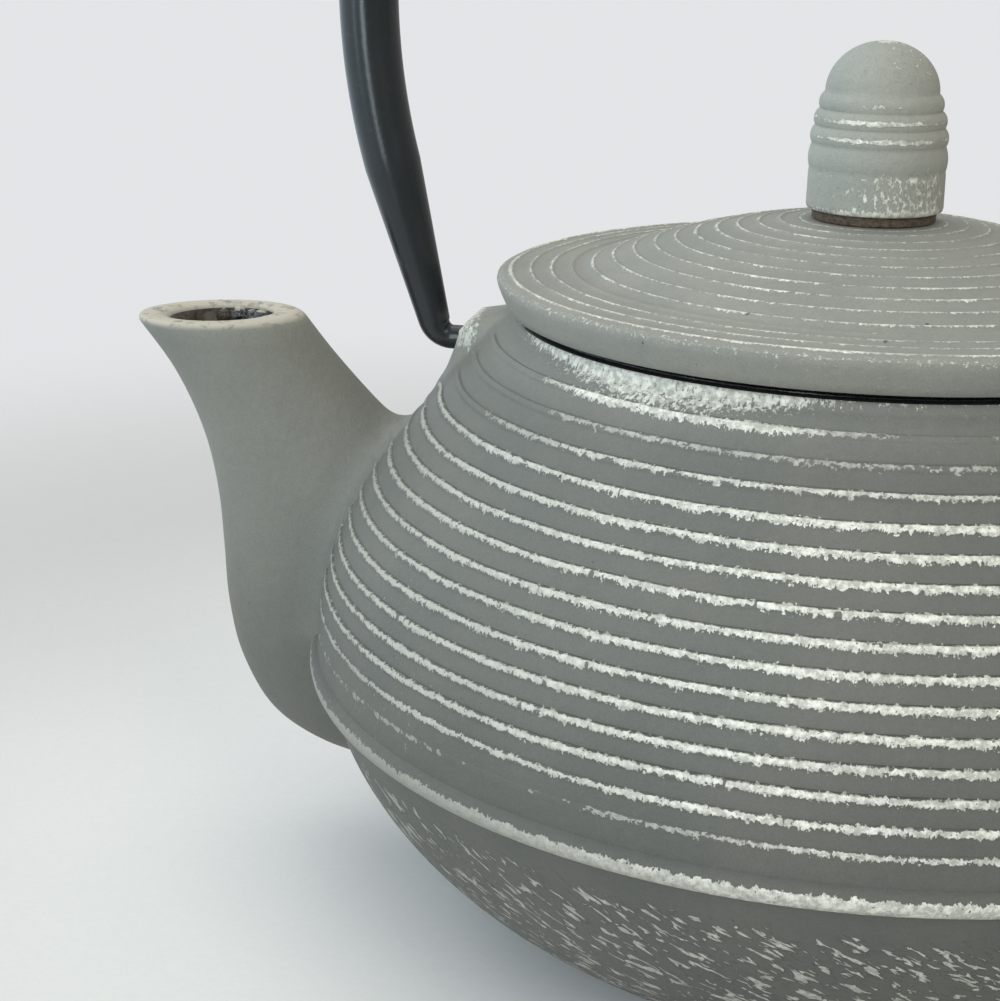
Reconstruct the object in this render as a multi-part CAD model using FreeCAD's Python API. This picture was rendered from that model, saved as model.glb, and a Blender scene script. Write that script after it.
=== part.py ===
import FreeCAD, Part
import math
import os

# Cast-iron teapot with a swinging bail handle, a lift-off lid and a steel
# infuser basket. Millimetres, +Z up, the pot's axis is Z, the floor is Z = 0
# and the spout points along -X.

os.makedirs("parts", exist_ok=True)

# ---- driving dimensions: the casting ----
BAND_RADIUS = 80.0          # widest ring, where bowl and shoulder meet
BAND_HEIGHT = 38.7
BAND_WIDTH = 3.5
SHOULDER_RADIUS = 79.35     # crest line of the shoulder, level with the band
SHOULDER_ARC = 47.83        # radius of the shoulder's curve
SHOULDER_SLOPE = math.radians(41.08)    # the curve ends here and runs on straight
RIDGE_COUNT = 15
RIDGE_FIRST = 5.41          # along the shoulder from the band to the first ridge
RIDGE_PITCH = 3.27
RIDGE_PITCH_GROWTH = 0.022  # the pitch opens slightly towards the neck
RIDGE_HEIGHT = 0.45
RIDGE_HALF_WIDTH = 0.75
RIDGE_CREST = (-0.3, 0.4)   # the flat of each crest, from its lower to its upper edge
BOWL_RADIUS = 78.0          # superellipse of the lower bowl
BOWL_CENTRE = 41.67
BOWL_DEPTH = 53.08
BOWL_POWER = 1.889
FOOT_RADIUS = 47.0
FOOT_HEIGHT = 2.5
FOOT_CHAMFER = 0.5
FOOT_GROOVE = (36.0, 38.5)  # inner and outer radius of the groove under the foot
FOOT_GROOVE_DEPTH = 0.7
WALL = 3.9
BOWL_WALL = 3.3             # the bowl, cast a little thinner than the shoulder
FLOOR_TOP = 4.5
FLOOR_CORNER = 4.0          # the inner floor is this much smaller than the wall above it
FLOOR_CORNER_HEIGHT = 2.0
NECK_TOP = 89.6
NECK_OUTER = 50.6
NECK_ROUNDING = 1.2
NECK_BORE = 44.5
NECK_BORE_BOTTOM = 85.6
UNDER_NECK = 12.0           # the inner slope runs on this far above the shoulder's curve

# ---- driving dimensions: spout, as pairs of rear and front points in X, Z ----
SPOUT_REAR = [(-84.4, 85.5), (-79.4, 79.4), (-73.0, 72.7), (-66.5, 66.7), (-62.3, 60.0),
              (-59.0, 52.0), (-57.0, 45.0), (-55.0, 38.0), (-53.0, 33.0), (-50.0, 28.0),
              (-46.0, 23.0)]
SPOUT_FRONT = [(-110.2, 84.7), (-103.9, 76.4), (-99.5, 67.2), (-97.3, 58.0), (-96.5, 49.0),
               (-95.9, 40.2), (-94.0, 31.4), (-89.4, 22.9), (-82.2, 17.7), (-73.2, 14.6),
               (-60.0, 12.2)]
SPOUT_HALF_WIDTH = [10.3, 10.3, 10.3, 10.5, 11.0, 11.4, 11.5, 11.0, 9.6, 7.0, 3.5]
SPOUT_WIDEST = 0.62         # where along rear to front the spout is widest, low down
MOUTH_WIDEST = 0.5
SPOUT_WALL = 4.7
CHANNEL_LONG = 7.9          # half size of the channel along the spout's section
CHANNEL_WIDE = 6.4
CHANNEL_SECTIONS = 6
CHANNEL_TURN = (-84.6, 41.5)    # where the channel turns into the pot
CHANNEL_TURN_RADIUS = 7.3
CHANNEL_LEVEL_RADIUS = 6.9
CHANNEL_LEVEL_LENGTH = 27.0
MOUTH_CLEAR = (-2.5, 4.0)       # way in X and Z that the channel runs on past the mouth

# ---- driving dimensions: lugs and bail handle ----
PIVOT_HEIGHT = 83.2
HOOK_RADIUS = 1.8
HOOK_CLEARANCE = 0.08
HOOK_END = 54.0             # inner end of each hook, from the pot's axis
LUG_BORE_END = 53.4
LUG_BORE_LENGTH = 12.0
LUG_HALF_WIDTH = 7.0
LUG_OUTLINE = [(45.5, 76.0), (62.0, 76.0), (60.9, 79.6), (58.9, 86.4), (57.6, 87.75),
               (53.0, 87.9), (45.5, 87.9), (45.5, 76.0)]    # X, Z
LUG_CORNER = 1.6
LUG_CORNERS_FROM = 57.0     # edges further out than this are rounded
BEND_START = 60.5
BEND_RADIUS = 3.0
BEND_TUBE = 2.35            # tube radius at the top of the bend
LEG_SLOPE = math.radians(74.5)
LEG_LENGTH = 24.0
LEG_TUBE = 4.15
BAIL_TUBE = 4.3
BAIL_HALF_WIDTH = 73.4
BAIL_TOP = 188.0            # centre line of the tube at the top of the arch
CROWN_SMALL_RADIUS = 45.0

# ---- driving dimensions: lid, knob, infuser ----
LID_UNDERSIDE = 90.4
LID_EDGE_RADIUS = 53.0
LID_BOTTOM_RADIUS = 51.05
LID_EDGE_HEIGHT = 94.9
LID_FLAT_RADIUS = 40.5
LID_CROWN = 104.0
LID_CURVE = 0.00494         # height lost with the square of the radius
LID_RIM_SLOPE = 0.055       # height lost per millimetre outside the crown
LID_EDGE_ROUNDING = 0.5
LID_THICKNESS = 4.0
LID_RINGS = 14
LID_RING_FIRST = 51.1
LID_RING_PITCH = 2.92
LID_RING_HEIGHT = 0.25
LID_RING_HALF_WIDTH = 0.35
SKIRT_OUTER = 40.9
SKIRT_INNER = 37.9
SKIRT_BOTTOM = 84.4
BOSS_RADIUS = 9.6
COLLAR_RADIUS = 8.7
COLLAR_HEIGHT = 1.5
KNOB_RADIUS = 9.53
KNOB_TOP = 128.2
KNOB_SIDE_TOP = (9.5, 110.7)    # radius and height of the faint groove in the knob's side
KNOB_RINGS = [(9.6, 112.8), (9.52, 115.4), (9.14, 117.8), (8.58, 119.9)]    # crests
KNOB_GROOVES = [(9.25, 114.1), (8.95, 116.6), (8.42, 118.9), (7.85, 121.2)]   # above each crest
DOME_RADIUS = 7.85
DOME_START = 121.2
SCREW_RADIUS = 2.4
SCREW_HOLE = 2.5
SCREW_HEAD_RADIUS = 4.4
SCREW_HEAD_HEIGHT = 3.2
SCREW_HEAD_SIDE = 1.4       # the straight side of the head starts this far above its bottom
SCREW_TIP = 117.0
SCREW_TIP_CHAMFER = 0.5
SCREW_HOLE_END = 118.0
SLOT_LENGTH = 5.0
SLOT_WIDTH = 0.9
SLOT_DEPTH = 1.6
WASHER_RADIUS = 6.5
WASHER_THICKNESS = 1.0
SHEET = 0.4                 # thickness of the infuser's steel sheet
BASKET_RADIUS = 42.5        # outside of the mesh wall
BASKET_BOTTOM = 41.4
RIM_RADIUS = 48.6
RIM_THICKNESS = 0.8
RIM_OVERHANG = 0.6          # the flange covers the edge of the mesh inside the basket
SLEEVE_BOTTOM = 78.0
CLAMP_TOP = 88.6
BASE_RING_TOP = 46.4
BASE_RING_LIP = 36.0
SEAM_WIDTH = 6.0
SEAM_ANGLE = 90.0           # the seam is at the side, away from spout and hand

AXIS = FreeCAD.Vector(0, 0, 1)
ORIGIN = FreeCAD.Vector(0, 0, 0)


def point(radius, height):
    """A point of an outline that is turned about the pot's axis."""
    return FreeCAD.Vector(radius, 0, height)


def line(a, b):
    return Part.LineSegment(point(*a), point(*b)).toShape()


def arc(a, middle, b):
    return Part.Arc(point(*a), point(*middle), point(*b)).toShape()


def curve(points):
    spline = Part.BSplineCurve()
    spline.interpolate([point(*p) for p in points])
    return spline.toShape()


def polyline(points):
    return [line(a, b) for a, b in zip(points, points[1:])]


def turned(edges):
    """The solid that a closed outline sweeps around the pot's axis."""
    face = Part.Face(Part.Wire(Part.__sortEdges__(edges)))
    return face.revolve(ORIGIN, AXIS, 360)


def ring(inner, outer, low, high):
    corners = [(inner, low), (outer, low), (outer, high), (inner, high), (inner, low)]
    return turned(polyline(corners))


def disc(radius, low, high):
    return Part.makeCylinder(radius, high - low, FreeCAD.Vector(0, 0, low), AXIS)


def save(name, shape):
    if shape.ShapeType == "Compound" and len(shape.Solids) == 1:
        shape = shape.Solids[0]
    assert shape.isValid(), name
    print("%-20s solids %d volume %.1f cm3" % (name, len(shape.Solids), shape.Volume / 1000))
    shape.exportStep("parts/%s.step" % name)


# ---- pot casting ----
def shoulder(along, inward=0.0):
    """Radius and height at a distance up the shoulder, moved inward square to it."""
    turn = min(along / SHOULDER_ARC, SHOULDER_SLOPE)
    rest = along - turn * SHOULDER_ARC
    radius = SHOULDER_RADIUS - SHOULDER_ARC * (1 - math.cos(turn)) - rest * math.sin(turn)
    height = BAND_HEIGHT + SHOULDER_ARC * math.sin(turn) + rest * math.cos(turn)
    return radius - inward * math.cos(turn), height - inward * math.sin(turn)


def bowl(height, inward=0.0):
    """Radius of the lower bowl at a height, with its wall moved inward."""
    depth = (BOWL_CENTRE - height) / (BOWL_DEPTH - inward)
    radius = BOWL_RADIUS - inward
    return radius * (1 - max(depth, 0.0) ** BOWL_POWER) ** (1 / BOWL_POWER)


def outer_outline():
    band_low = BAND_HEIGHT - BAND_WIDTH / 2
    band_high = BAND_HEIGHT + BAND_WIDTH / 2
    heights = [FOOT_HEIGHT, 6, 11, 17, 24, 31, band_low]
    bowl_points = [(bowl(z), z) for z in heights]
    foot_side = FOOT_RADIUS + FOOT_CHAMFER
    edges = polyline([(0, 0), (FOOT_RADIUS, 0), (foot_side, FOOT_CHAMFER),
                      (foot_side, FOOT_HEIGHT - FOOT_CHAMFER), bowl_points[0]])
    edges.append(curve(bowl_points))
    start = shoulder(BAND_WIDTH / 2, RIDGE_HEIGHT)
    start = (start[0], band_high)
    edges.append(arc(bowl_points[-1], (BAND_RADIUS, BAND_HEIGHT), start))
    here = start
    for i in range(RIDGE_COUNT):
        centre = RIDGE_FIRST + RIDGE_PITCH * i + RIDGE_PITCH_GROWTH * i * i
        foot = shoulder(centre - RIDGE_HALF_WIDTH, RIDGE_HEIGHT)
        crest = [shoulder(centre + edge) for edge in RIDGE_CREST]
        after = shoulder(centre + RIDGE_HALF_WIDTH, RIDGE_HEIGHT)
        edges += polyline([here, foot] + crest + [after])
        here = after
    neck_side = (NECK_OUTER, NECK_TOP - NECK_ROUNDING)
    neck_face = (NECK_OUTER - NECK_ROUNDING, NECK_TOP)
    share = NECK_ROUNDING * (1 - math.sqrt(0.5))
    edges += polyline([here, neck_side])
    edges.append(arc(neck_side, (NECK_OUTER - share, NECK_TOP - share), neck_face))
    edges += polyline([neck_face, (0, NECK_TOP), (0, 0)])
    return edges


def inner_outline():
    heights = [FLOOR_TOP + FLOOR_CORNER_HEIGHT, 12, 18, 25, 32, BAND_HEIGHT]
    wall = [(bowl(z, BOWL_WALL), z) for z in heights]
    arc_end = SHOULDER_ARC * SHOULDER_SLOPE
    low = wall[-1]
    middle = shoulder(arc_end / 2, WALL)
    top = shoulder(arc_end, WALL)
    under_neck = shoulder(arc_end + UNDER_NECK, WALL)
    edges = polyline([(0, FLOOR_TOP), (wall[0][0] - FLOOR_CORNER, FLOOR_TOP), wall[0]])
    edges += [curve(wall), arc(low, middle, top)]
    above = NECK_TOP + 5
    edges += polyline([top, under_neck, (NECK_BORE, NECK_BORE_BOTTOM), (NECK_BORE, above),
                       (0, above), (0, FLOOR_TOP)])
    return edges


def spout_section(rear, front, widest, half_width, points=16):
    """A closed egg-shaped wire in the plane of Y and the line from rear to front."""
    ring_points = []
    for i in range(points):
        angle = 2 * math.pi * i / points
        swing = math.cos(angle)
        reach = 1 - widest if swing > 0 else widest
        t = widest + reach * swing
        x = rear[0] + (front[0] - rear[0]) * t
        z = rear[1] + (front[1] - rear[1]) * t
        ring_points.append(FreeCAD.Vector(x, half_width * math.sin(angle), z))
    spline = Part.BSplineCurve()
    spline.interpolate(ring_points, PeriodicFlag=True)
    return Part.Wire(spline.toShape())


def spout_outside():
    last = len(SPOUT_REAR) - 1
    wires = []
    for i, (rear, front) in enumerate(zip(SPOUT_REAR, SPOUT_FRONT)):
        share = min(1.0, 2.0 * i / last)
        widest = MOUTH_WIDEST + (SPOUT_WIDEST - MOUTH_WIDEST) * share
        wires.append(spout_section(rear, front, widest, SPOUT_HALF_WIDTH[i]))
    return Part.makeLoft(wires, True, False)


def spout_channel():
    """The hollow of the spout: down from the mouth, then level into the pot."""
    wires = []
    for i in range(CHANNEL_SECTIONS):
        rear, front = SPOUT_REAR[i], SPOUT_FRONT[i]
        length = math.hypot(front[0] - rear[0], front[1] - rear[1])
        ux = (rear[0] - front[0]) / length
        uz = (rear[1] - front[1]) / length
        near = SPOUT_WALL
        far = SPOUT_WALL + 2 * CHANNEL_LONG
        if i == 0:
            near = length / 2 - CHANNEL_LONG
            far = length / 2 + CHANNEL_LONG
        a = (front[0] + ux * near, front[1] + uz * near)
        b = (front[0] + ux * far, front[1] + uz * far)
        wires.append(spout_section(b, a, 0.5, CHANNEL_WIDE))
    down = Part.makeLoft(wires, True, False)
    mouth = wires[0].copy()
    above = Part.Face(mouth).extrude(FreeCAD.Vector(MOUTH_CLEAR[0], 0, MOUTH_CLEAR[1]))
    turn = FreeCAD.Vector(CHANNEL_TURN[0], 0, CHANNEL_TURN[1])
    corner = Part.makeSphere(CHANNEL_TURN_RADIUS, turn)
    way = FreeCAD.Vector(1, 0, 0)
    level = Part.makeCylinder(CHANNEL_LEVEL_RADIUS, CHANNEL_LEVEL_LENGTH, turn, way)
    return down.fuse([above, corner, level])


def lug_block(side):
    """A square-shouldered ear that stands on the neck."""
    wire = Part.Wire(polyline(LUG_OUTLINE))
    block = Part.Face(wire).extrude(FreeCAD.Vector(0, 2 * LUG_HALF_WIDTH, 0))
    block.translate(FreeCAD.Vector(0, -LUG_HALF_WIDTH, 0))
    upright = [e for e in block.Edges
               if e.BoundBox.YLength < 0.01 and e.BoundBox.XMax > LUG_CORNERS_FROM]
    block = block.makeFillet(LUG_CORNER, upright)
    if side < 0:
        block.rotate(ORIGIN, AXIS, 180)
    return block


def lug_bore(side):
    start = FreeCAD.Vector(side * LUG_BORE_END, 0, PIVOT_HEIGHT)
    way = FreeCAD.Vector(side, 0, 0)
    return Part.makeCylinder(HOOK_RADIUS + HOOK_CLEARANCE, LUG_BORE_LENGTH, start, way)


def turned_casting():
    """Bowl, shoulder and neck, open at the top and where the spout joins."""
    body = turned(outer_outline()).cut(turned(inner_outline()))
    return body.cut([spout_channel(), lug_bore(1), lug_bore(-1)])


def below_band():
    """The space under the middle of the widest ring, where bowl and shoulder part."""
    return disc(BAND_RADIUS + 10, -10, BAND_HEIGHT)


def pot_bowl():
    """The casting's bowl with its flat foot and the groove under it."""
    foot_groove = ring(FOOT_GROOVE[0], FOOT_GROOVE[1], -1.0, FOOT_GROOVE_DEPTH)
    return turned_casting().common(below_band()).cut(foot_groove)


def pot_shoulder():
    """The casting's ridged shoulder with the neck that carries infuser and lid."""
    return turned_casting().cut(below_band())


def spout():
    """The part of the casting's spout that stands outside the bowl and shoulder."""
    return spout_outside().cut([turned(outer_outline()), spout_channel()])


def lug(side):
    """An ear of the casting with a blind bore for one hook of the bail."""
    return lug_block(side).cut([turned(outer_outline()), lug_bore(side)])


# ---- lid and knob ----
def lid_top(radius):
    if radius < LID_FLAT_RADIUS:
        return LID_CROWN - LID_CURVE * radius * radius
    edge = LID_CROWN - LID_CURVE * LID_FLAT_RADIUS * LID_FLAT_RADIUS
    return edge - LID_RIM_SLOPE * (radius - LID_FLAT_RADIUS)


def lid():
    """Flat rim, low crown with raised rings, and a skirt that drops into the mouth."""
    side_top = (LID_EDGE_RADIUS, LID_EDGE_HEIGHT - LID_EDGE_ROUNDING)
    edges = polyline([(SKIRT_OUTER, LID_UNDERSIDE), (LID_BOTTOM_RADIUS, LID_UNDERSIDE),
                      side_top])
    here = (LID_RING_FIRST + LID_RING_HALF_WIDTH, lid_top(LID_RING_FIRST + LID_RING_HALF_WIDTH))
    corner = (LID_EDGE_RADIUS - 0.35, LID_EDGE_HEIGHT + 0.1)
    edges.append(arc(side_top, corner, here))
    for i in range(LID_RINGS):
        centre = LID_RING_FIRST - LID_RING_PITCH * i
        outer = centre + LID_RING_HALF_WIDTH
        inner = centre - LID_RING_HALF_WIDTH
        if i > 0:
            foot = (outer, lid_top(outer))
            if here[0] > LID_FLAT_RADIUS > outer:
                knee = (LID_FLAT_RADIUS, lid_top(LID_FLAT_RADIUS))
                edges += polyline([here, knee, foot])
            else:
                edges += polyline([here, foot])
        start = (outer, lid_top(outer))
        here = (inner, lid_top(inner))
        edges.append(arc(start, (centre, lid_top(centre) + LID_RING_HEIGHT), here))
    boss = lid_top(BOSS_RADIUS)
    edges += polyline([here, (BOSS_RADIUS, boss), (SCREW_HOLE, boss)])
    under = [(SCREW_HOLE, boss - LID_THICKNESS), (WASHER_RADIUS + 2.5, boss - LID_THICKNESS)]
    slope_top = lid_top(SKIRT_INNER - 2) - LID_THICKNESS
    edges += polyline([(SCREW_HOLE, boss)] + under
                      + [(SKIRT_INNER, slope_top), (SKIRT_INNER, SKIRT_BOTTOM + 0.5),
                         (SKIRT_INNER + 0.5, SKIRT_BOTTOM), (SKIRT_OUTER - 0.8, SKIRT_BOTTOM),
                         (SKIRT_OUTER, SKIRT_BOTTOM + 0.8), (SKIRT_OUTER, LID_UNDERSIDE)])
    return turned(edges)


def boss_top():
    return lid_top(BOSS_RADIUS)


def knob_collar():
    base = boss_top()
    return ring(SCREW_HOLE, COLLAR_RADIUS, base, base + COLLAR_HEIGHT)


def lid_knob():
    """Bullet-shaped knob with four raised rings and a blind screw hole below."""
    base = boss_top() + COLLAR_HEIGHT
    edges = polyline([(SCREW_HOLE, base), (KNOB_RADIUS - 0.7, base), (KNOB_RADIUS, base + 0.7),
                      KNOB_SIDE_TOP])
    here = KNOB_SIDE_TOP
    for crest, groove in zip(KNOB_RINGS, KNOB_GROOVES):
        edges.append(arc(here, crest, groove))
        here = groove
    turns = [math.pi / 2 * i / 8 for i in range(9)]
    rise = KNOB_TOP - DOME_START
    edges.append(curve([(DOME_RADIUS * math.cos(t), DOME_START + rise * math.sin(t))
                        for t in turns]))
    edges += polyline([(0, KNOB_TOP), (0, SCREW_HOLE_END), (SCREW_HOLE, SCREW_HOLE_END - 0.8),
                       (SCREW_HOLE, base)])
    return turned(edges)


def screw_washer():
    top = boss_top() - LID_THICKNESS
    return ring(SCREW_HOLE, WASHER_RADIUS, top - WASHER_THICKNESS, top)


def knob_screw():
    """Cross-slot pan head under the lid, shank up into the knob."""
    seat = boss_top() - LID_THICKNESS - WASHER_THICKNESS
    low = seat - SCREW_HEAD_HEIGHT
    side_low = (SCREW_HEAD_RADIUS, low + SCREW_HEAD_SIDE)
    outline = polyline([(SCREW_RADIUS, seat), (SCREW_HEAD_RADIUS, seat), side_low])
    rounding = [side_low, (SCREW_HEAD_RADIUS - 0.5, low + 0.5), (SCREW_HEAD_RADIUS - 1.6, low)]
    outline.append(curve(rounding))
    outline += polyline([rounding[-1], (0, low)])
    outline += polyline([(0, low), (0, SCREW_TIP), (SCREW_RADIUS - SCREW_TIP_CHAMFER, SCREW_TIP),
                         (SCREW_RADIUS, SCREW_TIP - SCREW_TIP_CHAMFER), (SCREW_RADIUS, seat)])
    screw = turned(outline)
    slots = []
    for angle in (0, 90):
        corner = FreeCAD.Vector(-SLOT_LENGTH / 2, -SLOT_WIDTH / 2, low - 1)
        slot = Part.makeBox(SLOT_LENGTH, SLOT_WIDTH, SLOT_DEPTH + 1, corner)
        slot.rotate(ORIGIN, AXIS, angle)
        slots.append(slot)
    return screw.cut(slots)


# ---- bail handle ----
def tube(path_edges, first_radius, last_radius):
    """A round tube along edges in the XZ plane, from one radius to another."""
    path = Part.Wire(path_edges)
    start = path_edges[0].valueAt(path_edges[0].FirstParameter)
    start_way = path_edges[0].tangentAt(path_edges[0].FirstParameter)
    end = path_edges[-1].valueAt(path_edges[-1].LastParameter)
    end_way = path_edges[-1].tangentAt(path_edges[-1].LastParameter)
    shell = Part.BRepOffsetAPI.MakePipeShell(path)
    shell.setFrenetMode(True)
    shell.add(Part.Wire(Part.makeCircle(first_radius, start, start_way)))
    if last_radius != first_radius:
        shell.add(Part.Wire(Part.makeCircle(last_radius, end, end_way)))
    shell.build()
    shell.makeSolid()
    return shell.shape()


def bail_points():
    """Ends and middles of the half bail's arcs, from the hook to the top."""
    bend_centre = (BEND_START, PIVOT_HEIGHT + BEND_RADIUS)
    half = LEG_SLOPE / 2
    bend_mid = (bend_centre[0] + BEND_RADIUS * math.sin(half),
                bend_centre[1] - BEND_RADIUS * math.cos(half))
    bend_end = (bend_centre[0] + BEND_RADIUS * math.sin(LEG_SLOPE),
                bend_centre[1] - BEND_RADIUS * math.cos(LEG_SLOPE))
    leg_end = (bend_end[0] + LEG_LENGTH * math.cos(LEG_SLOPE),
               bend_end[1] + LEG_LENGTH * math.sin(LEG_SLOPE))
    lean = math.pi / 2 - LEG_SLOPE
    sweep = (BAIL_HALF_WIDTH - leg_end[0]) / (1 - math.cos(lean))
    widest = (BAIL_HALF_WIDTH, leg_end[1] + sweep * math.sin(lean))
    knee_mid = (BAIL_HALF_WIDTH - sweep * (1 - math.cos(lean / 2)),
                widest[1] - sweep * math.sin(lean / 2))
    return bend_mid, bend_end, leg_end, knee_mid, widest


def bail_half():
    """Right half of the bail: hook, bend, tapered leg, upper leg and crown."""
    bend_mid, bend_end, leg_end, knee_mid, widest = bail_points()
    hook_way = FreeCAD.Vector(1, 0, 0)
    hook_start = FreeCAD.Vector(HOOK_END, 0, PIVOT_HEIGHT)
    hook = Part.makeCylinder(HOOK_RADIUS, BEND_START - HOOK_END, hook_start, hook_way)
    bend = tube([arc((BEND_START, PIVOT_HEIGHT), bend_mid, bend_end)], HOOK_RADIUS, BEND_TUBE)
    leg_way = FreeCAD.Vector(math.cos(LEG_SLOPE), 0, math.sin(LEG_SLOPE))
    leg = Part.makeCone(BEND_TUBE, LEG_TUBE, LEG_LENGTH, point(*bend_end), leg_way)
    upper = tube([arc(leg_end, knee_mid, widest)], LEG_TUBE, BAIL_TUBE)
    # crown: a small arc, then a large one whose centre is on the pot's axis
    reach = BAIL_HALF_WIDTH - CROWN_SMALL_RADIUS
    rise = BAIL_TOP - widest[1] - CROWN_SMALL_RADIUS
    angle = 2 * math.atan(rise / reach)
    gap = reach / math.sin(angle)
    turn = math.pi / 2 - angle
    big = CROWN_SMALL_RADIUS + gap
    small_centre = (reach, widest[1])
    big_centre = BAIL_TOP - big

    def on_small(a):
        return (small_centre[0] + CROWN_SMALL_RADIUS * math.cos(a),
                small_centre[1] + CROWN_SMALL_RADIUS * math.sin(a))

    def on_big(a):
        return big * math.sin(a), big_centre + big * math.cos(a)

    small = arc(widest, on_small(turn / 2), on_small(turn))
    large = arc(on_small(turn), on_big(angle / 2), (0, BAIL_TOP))
    crown = [tube([small], BAIL_TUBE, BAIL_TUBE), tube([large], BAIL_TUBE, BAIL_TUBE)]
    return [hook, bend, leg, upper] + crown


def bail_handle():
    pieces = bail_half()
    mirrored = [p.mirror(ORIGIN, FreeCAD.Vector(1, 0, 0)) for p in pieces]
    whole = pieces[0].fuse(pieces[1:] + mirrored)
    return whole.removeSplitter()


# ---- infuser basket ----
def infuser_rim():
    """Pressed flange that hangs on the pot's neck, with a plain sleeve below."""
    inner = BASKET_RADIUS
    top = LID_UNDERSIDE
    low = top - RIM_THICKNESS
    lip = inner - RIM_OVERHANG
    outline = [(lip, low), (inner, low), (inner, SLEEVE_BOTTOM),
               (inner + SHEET, SLEEVE_BOTTOM), (inner + SHEET, low), (RIM_RADIUS - 0.4, low),
               (RIM_RADIUS, low + 0.25), (RIM_RADIUS, top - 0.25), (RIM_RADIUS - 0.4, top),
               (lip + 0.3, top), (lip, top - 0.3), (lip, low)]
    return turned(polyline(outline))


def infuser_clamp_ring():
    inner = BASKET_RADIUS - 2 * SHEET
    return ring(inner, BASKET_RADIUS - SHEET, SLEEVE_BOTTOM + 1.0, CLAMP_TOP)


def infuser_wall():
    low = BASKET_BOTTOM + SHEET
    return ring(BASKET_RADIUS - SHEET, BASKET_RADIUS, low, CLAMP_TOP)


def infuser_seam():
    whole = ring(BASKET_RADIUS, BASKET_RADIUS + SHEET, BASE_RING_TOP, SLEEVE_BOTTOM)
    corner = FreeCAD.Vector(BASKET_RADIUS - 5, -SEAM_WIDTH / 2, BASKET_BOTTOM)
    box = Part.makeBox(10, SEAM_WIDTH, CLAMP_TOP - BASKET_BOTTOM, corner)
    box.rotate(ORIGIN, AXIS, SEAM_ANGLE)
    return whole.common(box)


def infuser_base_ring():
    outer = BASKET_RADIUS + SHEET
    low = BASKET_BOTTOM
    outline = [(BASE_RING_LIP, low), (outer - 0.4, low), (outer, low + 0.4),
               (outer, BASE_RING_TOP), (BASKET_RADIUS, BASE_RING_TOP),
               (BASKET_RADIUS, low + SHEET), (BASE_RING_LIP, low + SHEET),
               (BASE_RING_LIP, low)]
    return turned(polyline(outline))


def infuser_floor():
    low = BASKET_BOTTOM + SHEET
    return disc(BASKET_RADIUS - 2 * SHEET, low, low + SHEET)


save("pot_bowl", pot_bowl())
save("pot_shoulder", pot_shoulder())
save("spout", spout())
save("lug_right", lug(1))
save("lug_left", lug(-1))
save("lid", lid())
save("lid_knob", lid_knob())
save("knob_collar", knob_collar())
save("screw_washer", screw_washer())
save("knob_screw", knob_screw())
save("bail_handle", bail_handle())
save("infuser_rim", infuser_rim())
save("infuser_clamp_ring", infuser_clamp_ring())
save("infuser_wall", infuser_wall())
save("infuser_seam", infuser_seam())
save("infuser_base_ring", infuser_base_ring())
save("infuser_floor", infuser_floor())
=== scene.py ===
import math

import bmesh
import bpy
import numpy as np
from mathutils import Matrix, Vector
from mathutils.bvhtree import BVHTree


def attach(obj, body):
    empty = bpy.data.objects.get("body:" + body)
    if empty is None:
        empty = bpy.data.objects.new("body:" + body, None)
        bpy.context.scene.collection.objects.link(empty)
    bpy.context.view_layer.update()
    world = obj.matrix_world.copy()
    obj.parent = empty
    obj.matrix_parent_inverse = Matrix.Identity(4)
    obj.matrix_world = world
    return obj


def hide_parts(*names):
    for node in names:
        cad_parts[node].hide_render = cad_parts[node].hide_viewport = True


# Looks for a cast-iron teapot: painted casting, lid with a bullet knob, black bail handle and a
# steel infuser basket. Shapes are worked out in millimetres and turned into metres when a mesh
# is made. The pot's axis is Z, the floor is Z = 0 and the spout points along -X.

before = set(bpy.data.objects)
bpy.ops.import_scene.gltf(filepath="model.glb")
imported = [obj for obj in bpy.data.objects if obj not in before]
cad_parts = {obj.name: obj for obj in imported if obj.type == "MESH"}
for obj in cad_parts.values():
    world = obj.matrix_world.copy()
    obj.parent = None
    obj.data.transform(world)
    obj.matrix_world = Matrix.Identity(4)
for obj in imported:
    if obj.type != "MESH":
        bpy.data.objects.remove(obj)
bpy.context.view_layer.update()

MM = 0.001
TURN = 2 * math.pi

# ---- the casting: the CAD part's sizes, but with worn ridges and lugs and glaze in the mouth ----
BAND_RADIUS = 80.0
BAND_HEIGHT = 38.7
BAND_HALF = 1.75
SHOULDER_RADIUS = 79.35
SHOULDER_ARC = 47.83
SHOULDER_SLOPE = math.radians(41.08)
RIDGE_COUNT = 15
RIDGE_FIRST = 5.41
RIDGE_PITCH = 3.27
RIDGE_GROWTH = 0.022
RIDGE_HEIGHT = 0.45
RIDGE_WORN_HEIGHT = 0.28    # paint and wear leave less of each ridge
RIDGE_BED = 0.36            # how far the ground between the ridges lies under the crest line
RIDGE_STEPS = [-1.1, -0.74, -0.58, -0.42, -0.2, 0.1, 0.32, 0.43, 0.53, 0.72]
BOWL_RADIUS = 78.0
BOWL_CENTRE = 41.67
BOWL_DEPTH = 53.08
BOWL_POWER = 1.889
FOOT_RADIUS = 47.0
FOOT_HEIGHT = 2.5
WALL = 3.9
FLOOR_TOP = 4.5
NECK_TOP = 89.6
NECK_BORE = 44.5
POT_COLUMNS = 400
CAVITY_COLUMNS = 128
POT_CREASE = 48        # edges of the casting sharper than this, in degrees, stay crisp

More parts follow.
